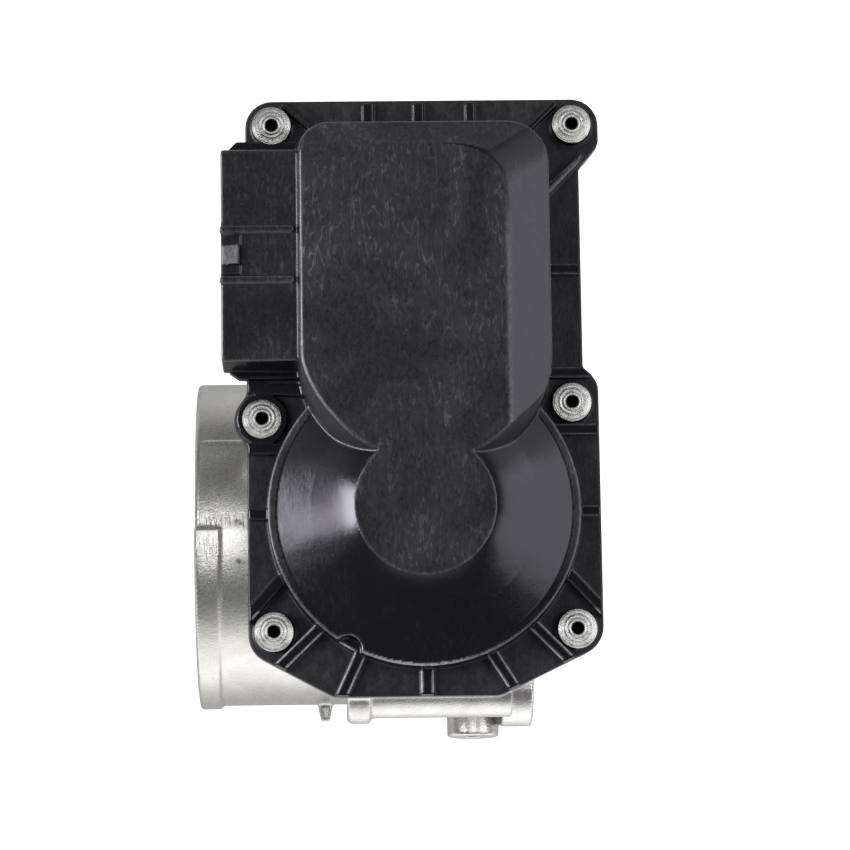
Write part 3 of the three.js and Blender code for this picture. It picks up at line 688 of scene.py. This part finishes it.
# ---------- the plastic cover ----------
# ribs on the cover's flange, from inside the dome to the edge: start x, y, end x, y and half width
COVER_RIBS = [
    (-11.5, 86, -11.5, 94.5, 1.25), (0, 86, 0, 94.5, 1.2), (11.8, 86, 11.8, 94.5, 1.1),
    (-23.2, 87.3, -31.0, 94.3, 0.5), (24.2, 87.3, 31.4, 94.3, 0.65),
    (26, 55.4, 39, 55.4, 1.25), (26, 31.6, 39, 31.6, 1.25), (26, 18.6, 42, 18.6, 1.25),
    (33, 0, 42, 0, 1.25), (29.5, -11.1, 41.2, -23.8, 1.3), (22.3, -23.7, 34.2, -35.7, 1.3),
    (13.6, -30, 21.2, -42, 1.3), (0.2, -33, 0.2, -43, 1.45), (-13.8, -29.9, -19.3, -41.8, 1.3),
    (-22.2, -24.4, -34, -35.7, 1.3), (-30, -12.3, -41.0, -24.6, 1.3), (-32, 0, -42, 0, 1.25),
    (-30, 14.8, -42, 14.8, 1.25), (-25, 27.8, -42, 29.0, 1.25),
]
CORNER_RIB = [(36.2, 79.9), (37.3, 82.2), (26.5, 72.7), (26.5, 69.7)]


def motor_walls(x, y, z, inset=0.0):
    """The motor dome's walls: half-round at the lower end, rounded at the upper corners.

    The upper wall and the left wall lean inwards.
    """
    drafted = y - (66.5 - z) * 0.2
    lean = np.maximum(z - 61.0, 0) * 0.06
    corner = np.where(x < 0, 7.5, 9.5) - inset * 0.5
    upper = box2(x, drafted, (-28.1 + inset + lean, 10.0), (28.9 - inset, 87.6 - inset), corner)
    lower = length2(x - 0.4 - lean / 2, y - 35.4) - 28.5 + inset + lean / 2
    return np.where(y < 35.4, lower, upper)


def chamfer_width(y):
    """Width of the chamfer round the motor dome's roof: broad at the lower end, narrow above."""
    return 0.6 + 1.9 * np.clip((32.0 - y) / 12.0, 0, 1)


def motor_dome(x, y, z):
    """A flat roof with a chamfered edge, falling away in broad bevels at the right and the top."""
    walls = motor_walls(x, y, z)
    right_bevel = ((x - BEVEL_FROM) * 0.425 + (z - DOME_TOP)) / 1.087
    top_bevel = ((y - 81.6) * 0.60 + (z - DOME_TOP)) / 1.166
    bevels = common(right_bevel, top_bevel, 6.5)
    chamfer = (z - DOME_TOP + (walls + chamfer_width(y)) * 1.9) / 2.147
    return common(walls, common(common(z - DOME_TOP, bevels, 0.5), chamfer, 0.5), 0.3)


def dome_heights(radius):
    """Height of the gear dome over its radius: disc, steep foot, two shallow cones and a ledge."""
    out = np.maximum(radius - GEAR_DISC_R, 0)
    cones = 0.405 * np.minimum(out, 9.7) + 0.46 * np.maximum(out - 9.7, 0)
    drop = cones + 1.2 * (1 - np.exp(-out / 2.8))
    ridge = 0.008 * np.exp(-((radius - 25.3) / 0.35) ** 2)
    return np.maximum(DOME_TOP - drop + ridge, DOME_RIM + 0.4)


def gear_dome(x, y, z):
    radius = length2(x, y)
    table = np.arange(0, 70, 0.05)
    heights = np.interp(radius, table, dome_heights(table))
    tilt = np.interp(radius, table, np.abs(np.gradient(dome_heights(table), table)))
    top = (z - heights) / np.sqrt(1 + np.minimum(tilt, 1) ** 2)
    return common(top, radius - GEAR_DOME_R, 0.35)


def gear_room(x, y, z):
    radius = length2(x, y)
    cone = (z - 68.0 + np.maximum(radius - GEAR_DISC_R, 0) * 0.47) / 1.105
    return common(cone, radius - GEAR_DOME_R + WALL)


def motor_room(x, y, z):
    walls = motor_walls(x, y, z, WALL)
    right_bevel = ((x - 18.0) * 0.425 + (z - 68.0)) / 1.087
    top_bevel = ((y - 79.2) * 0.56 + (z - 68.0)) / 1.146
    return common(walls, common(z - 68.0, common(right_bevel, top_bevel, 4.0)), 0.5)


def add_connector(cover):
    """The socket: a deep box with guide rails and a latch ramp on top, and a foot flange."""
    low, high = SOCKET_Y
    reach = ((-46.5, -22.0), (low - 6, high + 8), None)
    cover.join(lambda x, y, z: prism(
        box2(y, z, (low, SOCKET_Z[0]), (high, SOCKET_Z[1]), 0.9),
        x, SOCKET_FACE, -24.0, 0.5), reach, 0.5)
    foot = [(-24.0, low - 1.9), (-41.1, low - 1.9), (-43.3, low - 0.4), (-43.3, high + 2.8),
            (-41.5, high + 4.6), (-24.0, high + 4.6)]
    cover.join(lambda x, y, z: prism(polygon2(x, y, foot), z, 53.8, 56.9, 0.3), reach, 0.3)
    for rail_y in (51.1, 62.6):
        cover.join(lambda x, y, z: outside_box(
            capsule2(x, y, (-44.2, rail_y), (-29.2, rail_y), 0.1) - 0.3, z - SOCKET_Z[1] - 0.1) - 0.5,
            ((-46, -27), (rail_y - 3, rail_y + 3), (66, 72)), 0.35)
    cover.cut(lambda x, y, z: prism(
        box2(x, y, (-47.0, 52.4), (-40.4, 61.3), 0.1), z, SOCKET_Z[1] - 0.35, 72.0, 0.1),
        ((-46.5, -39), (50, 64), (66, 72)), 0.1)
    cover.join(lambda x, y, z: common(
        prism(box2(x, y, (-44.6, 54.5), (-40.7, 59.1), 0.1), z, 66.0, 70.0, 0.1),
        ((z - 68.35) - (x + 44.6) * 0.30) / 1.044), ((-46, -39), (53, 61), (66, 72)), 0.1)
    mouth_low, mouth_high = (low + 2.2, SOCKET_Z[0] + 2.2), (high - 2.2, SOCKET_Z[1] - 2.2)
    cover.cut(lambda x, y, z: prism(
        box2(y, z, mouth_low, mouth_high, 1.2), x, -50.0, SOCKET_FACE + 14.6, 0.3), reach, 0.4)


def cover_scuffs_and_sheen(x, y, z, normals):
    """How rubbed the raised tops are: the roof, its bevels, the socket and the gear dome's ledge, where the mask
    is partly a painted reflection.
    """
    level = normals[:, 2] > 0.7
    on_dome = (z > 64) & (y > 20) & (x > -28) & (normals[:, 2] > 0.8)
    scuffs_and_sheen = np.zeros(len(x))
    scuffs_and_sheen[on_dome & (normals[:, 0] > 0.25)] = 0.35
    scuffs_and_sheen[on_dome & (normals[:, 1] > 0.30)] = 1.0
    scuffs_and_sheen[level & (z > DOME_TOP - 0.15)] = 1.0
    scuffs_and_sheen[level & (z > SOCKET_Z[1] - 0.6) & (x < SOCKET_FROM)] = 0.58
    radius = np.hypot(x, y)
    # On the ledge's sides the mask is partly rubbing and partly a painted reflection that greys the band.
    ledge = level & (radius > 33.2) & (radius < 35) & (np.abs(z - DOME_RIM - 0.4) < 0.35)
    sides = np.clip((np.abs(x) - 16) / 8, 0, 1) * np.clip((y + 18) / 10, 0, 1)
    scuffs_and_sheen[ledge] = 1.3 * sides[ledge]
    return scuffs_and_sheen


def cover_wear_and_highlights(x, y, z, normals, bend, latch):
    """How pale the edges are, partly wear and partly painted highlight: by their sharpness first, then a few edges
    given more or less painted highlight.
    """
    # Painted highlight and wear: convex edges grow pale with their sharpness.
    edge_wear_and_highlight = np.clip((bend - 0.55) / 1.6, 0, 1) * (normals[:, 2] > 0.15)
    # Low edges: strong painted highlight on the lower side, less on the right, little elsewhere.
    low = z < RIB_TOP + 0.2
    edge_wear_and_highlight[low] *= np.where(y < -22, 3.4, np.where((x > 28) & (y < 70), 0.8, 0.12))[low]
    edge_wear_and_highlight[low & (polygon2(x, y, rounded_points(OUTLINE)) > -0.8)] = 0
    socket_top = z > SOCKET_Z[1] - 1
    edge_wear_and_highlight[socket_top & (x < -38) & (np.abs(y - LATCH_Y) < 5)] = 0
    edge_wear_and_highlight[socket_top & (x < SOCKET_FROM)] *= 0.4

    # Painted highlight: a pale line along the right bevel's edge on the roof.
    bevel_line = np.exp(-((x - BEVEL_FROM) / 0.5) ** 2) * np.clip((70 - y) / 12, 0, 1)
    bevel_line *= (y > 18) & (z > DOME_TOP - 0.6)
    edge_wear_and_highlight = np.maximum(edge_wear_and_highlight, 0.8 * bevel_line)

    # Painted highlight: a pale line along the gear dome's rim, brightest on its lowest arc.
    rim = (np.abs(np.hypot(x, y) - 34.8) < 0.4) & (np.abs(z - DOME_RIM) < 0.7) & (x < 20)
    lowest = np.exp(-((x + 3) / 12) ** 2) * (y < -28)
    edge_wear_and_highlight = np.where(rim, 0.8 + 2.6 * lowest, edge_wear_and_highlight)
    # Painted highlight: the latch ramp's top is made pale.
    edge_wear_and_highlight[latch] = 0.75

    # Painted highlight: a pale line along the left part of the roof's chamfer edge.
    inside = motor_walls(x, y, z)
    roof_edge = np.exp(-((inside + chamfer_width(y)) / 0.3) ** 2) * (z > DOME_TOP - 0.5) * (x < 0)
    fade = np.clip((y - 13) / 9, 0, 1) * np.clip((40 - y) / 4, 0, 1)
    edge_wear_and_highlight = np.maximum(edge_wear_and_highlight, roof_edge * fade * 1.2)

    # Painted highlight: a pale line along the corner rib's side.
    along = ((x - 28.85) * 0.686 + (y - 72.2) * 0.728) / 10.4
    across = (x - 28.85) * 0.728 - (y - 72.2) * 0.686
    rib_side = (np.abs(across) < 0.8) & (along > -0.3) & (along < 1) & (x > 28.7)
    edge_wear_and_highlight[rib_side & (z > COVER_TOP + 0.4) & (z < CORNER_RIB_TOP + 0.2)] = 1.4
    return edge_wear_and_highlight


def cover_dullness(x, y, z, normals, latch):
    """The step between the two domes, and the walls of the notch round the latch."""
    step = (np.abs(motor_walls(x, y, z) + 1.2) < 2.2) & (normals[:, 2] < 0.8) & (y < 36) & (z > 60)
    notch = (x < -39) & (np.abs(y - LATCH_Y) < 5) & (z > SOCKET_Z[1] - 1)
    return np.maximum(0.6 * step, notch & (normals[:, 0] < -0.4) & ~latch)


def paint_cover(piece, places, normals, bend):
    """The four masks of the plastic."""
    x, y, z = places.T
    level = normals[:, 2] > 0.7
    latch = level & (np.abs(y - LATCH_Y) < 2.2) & (x < -40.8) & (z > SOCKET_Z[1] - 0.2)
    paint(piece, "grained", level & (np.abs(z - COVER_TOP) < 0.35))
    paint(piece, "scuffs_and_sheen", cover_scuffs_and_sheen(x, y, z, normals))
    paint(piece, "edge_wear_and_highlight", cover_wear_and_highlights(x, y, z, normals, bend, latch))
    paint(piece, "dull", cover_dullness(x, y, z, normals, latch))


def build_cover():
    """The plastic shell: flange, ribs, rivet pads, both domes and the socket, then its hollows."""
    cover = Solid((-46.5, -43.0, 50.5), (42.9, 97.3, 72.5), COVER_VOXEL)
    x, y, z = cover.window(None)[1:]
    boss = disc2(x, y, RIVETS["middle_left"], RIVET_LOBE_R)
    plan = union(polygon2(x, y, rounded_points(OUTLINE)), boss, 1.6)
    cover.values[:] = prism(plan, z, COVER_LOW, COVER_TOP, 0.35)
    for start_x, start_y, end_x, end_y, half in COVER_RIBS:
        reach = ((min(start_x, end_x) - 4, max(start_x, end_x) + 4),
                 (min(start_y, end_y) - 4, max(start_y, end_y) + 4), (51, 61))
        plan_here = plan[cover.window(reach)[0][:2]]
        cover.join(lambda x, y, z: prism(
            common(bar2(x, y, (start_x, start_y), (end_x, end_y), half), plan_here + 0.25),
            z, RIB_LOW, RIB_TOP, 0.22), reach, 0.3)
    cover.join(lambda x, y, z: prism(polygon2(x, y, CORNER_RIB), z, RIB_LOW, CORNER_RIB_TOP, 0.22),
               ((24, 42), (66, 86), (51, 61)), 0.3)
    for name, place in RIVETS.items():
        pad = 5.7 if name == "middle_left" else 4.4
        cover.join(lambda x, y, z: prism(disc2(x, y, place, pad), z, RIB_LOW, 56.7, 0.35),
                   near(place, 9, (51, 61)), 0.8)
    cover.join(lambda x, y, z: common(
        union(motor_dome(x, y, z), gear_dome(x, y, z), 0.5), 53.5 - z), blend=0.5)
    add_connector(cover)
    notch = (-17.4, -31.0)
    cover.cut(lambda x, y, z: prism(disc2(x, y, notch, 3.0), z, 57.0, 75.0, 0.3),
              near(notch, 6, (55, 72)), 0.4)
    cover.cut(lambda x, y, z: common(union(motor_room(x, y, z), gear_room(x, y, z)), 50.0 - z))
    for place in RIVETS.values():
        cover.cut(lambda x, y, z: disc2(x, y, place, RIVET_HOLE_R) + 0 * z, near(place, 5))
    piece, places, normals, bend = to_piece("gear_cover_shell", cover)
    paint_cover(piece, places, normals, bend)
    piece.data.materials.append(black_plastic_material())
    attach(piece, "root")
    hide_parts("gear_cover")
    return piece


# ---------- the casting ----------
def build_housing():
    """The casting: spigot, manifold flange, tray and motor pocket in one, then its bores."""
    housing = Solid((-54.0, -51.0, -48.5), (43.5, 97.5, 53.5), HOUSING_VOXEL)
    x, y, z = housing.window(None)[1:]
    add_spigot(housing, x, y, z)
    flange_plan = polygon2(y, z, rounded_points(FLANGE_OUTLINE, 8))
    housing.join(lambda x, y, z: prism(
        flange_plan, x, FLANGE_FACE - FLANGE_THICK, FLANGE_FACE, 0.5), blend=2.0)
    outline = polygon2(x, y, rounded_points(OUTLINE, 6))
    outline = union(outline, disc2(x, y, RIVETS["middle_left"], RIVET_LOBE_R), 1.6)
    rim = prism(outline + 0.4, z, TRAY_RIM_LOW, TRAY_TOP, 0.5)
    tray = prism(outline + 3.6, z, TRAY_FLOOR_LOW, TRAY_RIM_LOW + 1, 1.0)
    housing.join(lambda x, y, z: union(tray, rim, 1.2), blend=2.0)
    housing.join(lambda x, y, z: prism(
        disc2(x, y, MOTOR, MOTOR_POCKET_R), z, POCKET_LOW, TRAY_FLOOR_TOP - 1, 1.5), blend=2.5)
    for side in (-1, 1):
        place = (MOTOR[0] + side * 22.5, MOTOR[1])
        housing.join(lambda x, y, z: prism(
            disc2(x, y, place, 4.2), z, 30.0, TRAY_FLOOR_TOP - 0.5, 0.6), near(place, 9), 1.0)
    housing.join(lambda x, y, z: prism(
        disc2(x, y, (0, 0), SHAFT_BOSS_R), z, REAR_BOSS_LOW, -30.0, 0.6),
        near((0, 0), 18, (-48, -22)), 3.0)
    for angle in (35, 145, 215, 325):
        foot = (30 * math.cos(math.radians(angle)) * 0.8, 24 * math.sin(math.radians(angle)))
        housing.join(lambda x, y, z: common(
            prism(capsule2(x, y, (0, 0), foot, 1.5), z, -44.5, -20.0, 0.6),
            36.0 - length2(y, z)), ((-30, 30), (-24, 24), (-48, -18)), 1.5)
    housing.join(lambda x, y, z: prism(
        box2(x, y, (-2.4, 30.0), (2.4, 46.0), 0.5), z, -16.0, TRAY_FLOOR_LOW + 1, 0.6),
        near((0, 38), 16), 2.0)
    add_lower_castings(housing)
    hollow_housing(housing, outline)
    piece, places = to_piece("throttle_housing_casting", housing)[:2]
    paint(piece, "machined", machined_mask(places))
    paint(piece, "grime", grime_mask(places))
    paint(piece, "marked", marked_mask(places))
    piece.data.materials.append(cast_aluminium_material())
    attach(piece, "root")
    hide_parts("throttle_housing")
    return piece


def add_spigot(housing, x, y, z):
    """The duct spigot: the barrel, a bead round the end of its lower half, and a fine seam."""
    barrel = length2(y - BARREL_RISE, z) - BARREL_R
    outer = length2(y - BEAD_RISE, z) - BEAD_R
    housing.values[:] = prism(barrel, x, SPIGOT_END, FLANGE_FACE - 1, 1.2)
    bead = prism(outer, x, SPIGOT_END, SPIGOT_END + BEAD_LENGTH + 0.02 * np.minimum(y, 0), 0.5)
    housing.values[:] = union(housing.values, common(bead, y + 0.4, 0.5), 0.8)
    seam = prism(length2(barrel, y - 20.4) - 0.38, x, SPIGOT_END + 1.5, -20, 0.1)
    housing.values[:] = union(housing.values, np.where(z > 0, seam, FAR), 0.15)


def grime_mask(places):
    """Two dark speckled patches beside the parting line of the spigot."""
    x, y, z = places.T
    upper = np.exp(-((x + 41.7) / 1.6) ** 2 - ((y - 0.9) / 0.8) ** 2)
    lower = np.exp(-((x + 41.9) / 1.3) ** 2 - ((y + 8.1) / 0.9) ** 2)
    parting = 0.35 * np.exp(-((y + 0.4) / 0.3) ** 2) * (x < PARTING_FROM)
    return np.where(z > 20, np.maximum(np.maximum(upper, lower), parting), 0)


def marked_mask(places):
    """Rows of tool strokes: one just above the parting line, and one below it on the bead."""
    x, y, z = places.T
    row = np.exp(-((y - 1.0) / 1.3) ** 2) * (x < PARTING_FROM)
    claws = np.exp(-((y + 4.6) / 3.4) ** 4) * np.clip((-45.0 - x) / 2.0, 0, 1) * 0.7
    return np.where(z > 20, np.maximum(row, claws), 0)


def add_lower_castings(housing):
    """The rail with its end boss, the port boss, the ejector nub and the flange ear, low down."""
    def rail(x, y, z):
        rail_end = FLANGE_FACE - FLANGE_THICK + 1
        body = prism(disc2(y, z, RAIL, RAIL_R), x, -14.0, rail_end, 0.4)
        boss = prism(disc2(y, z, RAIL, RAIL_END_R), x, -17.7, -12.2, 1.2)
        return union(body, boss, 0.5)

    housing.join(rail, ((-20, 28), (-50, -28), (34, 50)), 0.8)
    housing.join(lambda x, y, z: prism(disc2(x, z, PORT, 5.9), y, -47.8, -20.0, 0.6),
                 ((2, 20), (-50, -15), (18, 36)), 1.0)
    housing.join(lambda x, y, z: prism(
        disc2(x, z, (-22.6, 0.0), 1.1 + (y + 41.2) * 0.17), y, -41.2, -33.0, 0.4),
        ((-30, -15), (-43, -30), (-8, 8)), 1.0)
    housing.join(lambda x, y, z: prism(disc2(y, z, FLANGE_BOLTS[2], 9.8), x, 17.4, FLANGE_FACE, 0.6),
                 ((14, 28), (-50, -22), (18, 44)), 1.0)


def hollow_housing(housing, outline):
    """Cuts the tray's room, the bore, the motor pocket and the holes, and adds the inner bosses."""
    housing.cut(lambda x, y, z: common(outline + 6.5, TRAY_FLOOR_TOP - z))
    housing.cut(lambda x, y, z: common(outline + 3.2, 50.6 - z))
    housing.join(lambda x, y, z: prism(disc2(x, y, (0, 0), SHAFT_BOSS_R), z, 36.0, 45.7, 0.4),
                 near((0, 0), 15), 1.0)
    rim = outline + 0.4
    for place in RIVETS.values():
        rim_here = rim[housing.window(near(place, 12))[0][:2]]
        housing.join(lambda x, y, z: union(
            prism(disc2(x, y, place, 4.8), z, TRAY_FLOOR_LOW + 1, TRAY_TOP - 0.4, 0.3),
            prism(common(disc2(x, y, place, 8.1), rim_here), z, TRAY_RIM_LOW, 50.6, 0.3)),
            near(place, 12), 0.6)
        housing.cut(lambda x, y, z: common(disc2(x, y, place, RIVET_HOLE_R), 30.0 - z),
                    near(place, 6))
    housing.cut(lambda x, y, z: length2(y, z) - BORE_R + 0 * x)
    housing.cut(lambda x, y, z: prism(disc2(x, y, MOTOR, 19.4), z, POCKET_LOW + 3, 60.0, 0.3),
                near(MOTOR, 22))
    housing.cut(lambda x, y, z: disc2(x, y, (0, 0), 4.8) + 0 * z, near((0, 0), 9))
    housing.cut(lambda x, y, z: common(disc2(x, y, (0, 0), 8.0), 37.6 - np.abs(z)),
                near((0, 0), 12))
    housing.cut(lambda x, y, z: prism(disc2(x, z, PORT, 1.9), y, -55.0, -38.0, 0.2),
                ((6, 16), (-51, -34), (22, 32)))
    for place in FLANGE_BOLTS:
        housing.cut(lambda x, y, z: disc2(y, z, place, FLANGE_BOLT_R) + 0 * x,
                    ((10, 28), (place[0] - 6, place[0] + 6), (place[1] - 6, place[1] + 6)))


def machined_mask(places):
    """1 on faces that are cut to size: flange face, bore, spigot end, rear boss end and tray rim."""
    x, y, z = places.T
    radius = np.hypot(y, z)
    face = x > FLANGE_FACE - 0.25
    bore = radius < BORE_R + 0.2
    spigot = x < SPIGOT_END + 0.3
    boss = z < REAR_BOSS_LOW + 0.3
    top = z > TRAY_TOP - 0.3
    return face | bore | spigot | boss | top


# ---------- rivets ----------
def turned_piece(name, profile, place):
    """Turns a closed profile of (radius, height) points about Z."""
    count, segments = len(profile), TURNED_SEGMENTS
    angles = [2 * math.pi * i / segments for i in range(segments)]
    points = [(r * math.cos(a), r * math.sin(a), h) for a in angles for r, h in profile]
    faces = []
    for i in range(segments):
        j = (i + 1) % segments
        for k in range(count):
            n = (k + 1) % count
            faces.append((i * count + k, j * count + k, j * count + n, i * count + n))
    mesh = bpy.data.meshes.new(name)
    mesh.from_pydata(points, [], faces)
    mesh.transform(Matrix.Scale(MM, 4))
    mesh.transform(Matrix.Translation((place[0] * MM + SHAFT_X, place[1] * MM, 0)))
    mesh.polygons.foreach_set("use_smooth", [True] * len(faces))
    piece = bpy.data.objects.new(name, mesh)
    bpy.context.scene.collection.objects.link(piece)
    return piece


def arc_points(centre, radius, start, end, steps):
    """Points on an arc in the profile plane, angles in degrees from the radial direction."""
    turns = [math.radians(start + (end - start) * i / steps) for i in range(steps + 1)]
    return [(centre[0] + radius * math.cos(t), centre[1] + radius * math.sin(t)) for t in turns]


def rivet_profile():
    """Hollow rivet: a shallow cone flange, a step ring, a groove and a low rolled lip."""
    seat = COVER_TOP + 1.5
    points = [(0.05, 44.0), (2.25, 44.0), (2.25, seat), (4.15, seat)]
    points += arc_points((4.15, seat + 0.3), 0.3, -70, 75, 5)
    points += [(3.4, seat + 0.80), (2.95, seat + 0.92), (2.80, seat + 1.12)]
    points += [(2.55, seat + 1.12), (2.40, seat + 0.95)]
    points += arc_points((1.78, seat + 1.0), 0.42, 20, 150, 8)
    points += [(RIVET_BORE_R, seat + 0.8), (1.15, 51.0), (0.05, 51.0)]
    return points


def build_rivets():
    """The six rivets that hold the cover down."""
    material = turned_metal_material(
        "rivet_metal", (0.48, 0.475, 0.46), (0.80, 0.795, 0.77), (0.16, 0.36), ringed=True)
    profile = rivet_profile()
    pieces = []
    for name, place in RIVETS.items():
        piece = turned_piece(f"rivet_{name}", profile, place)
        paint(piece, "ring_radius", [radius for radius, height in profile] * TURNED_SEGMENTS)
        piece.data.materials.append(material)
        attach(piece, "root")
        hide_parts(f"cover_rivet_{name}")
        pieces.append(piece)
    return pieces


# ---------- materials of the CAD nodes that stay ----------
def finish_cad_nodes():
    """Gives every CAD node that is still seen the material of its slot."""
    finishes = {
        "steel": turned_metal_material("turned_steel", (0.42, 0.42, 0.43), (0.58, 0.58, 0.59)),
        "brass": turned_metal_material("machined_brass", (0.50, 0.36, 0.14), (0.66, 0.49, 0.22)),
        "tin": turned_metal_material("tinned_blades", (0.55, 0.55, 0.54), (0.68, 0.68, 0.66)),
        "copper": turned_metal_material("copper_windings", (0.38, 0.15, 0.06), (0.52, 0.22, 0.10)),
        "rubber": moulded_material(
            "seal_rubber", (0.012, 0.012, 0.012), (0.025, 0.025, 0.025), (0.6, 0.8)),
        "gear_plastic": moulded_material("acetal", (0.56, 0.52, 0.41), (0.66, 0.62, 0.51)),
        "magnet": moulded_material("ferrite", (0.02, 0.02, 0.022), (0.04, 0.04, 0.043), (0.5, 0.7)),
        "board": moulded_material(
            "solder_mask", (0.006, 0.08, 0.03), (0.012, 0.12, 0.05), (0.3, 0.45)),
        "black_plastic": moulded_material(
            "inner_plastic", (0.012, 0.012, 0.013), (0.022, 0.022, 0.024)),
    }
    slots = {part["node"]: part["material_slot"] for part in frame["record"]["subparts"]}
    for name, node in frame["nodes"].items():
        finish = finishes.get(slots[name])
        if finish is None or node.hide_render:
            continue
        node.data.materials.clear()
        node.data.materials.append(finish)


add_camera()
add_stage()
add_lights(build_cover(), [build_housing(), *build_rivets()])
finish_cad_nodes()
bpy.context.scene.view_settings.view_transform = "Standard"
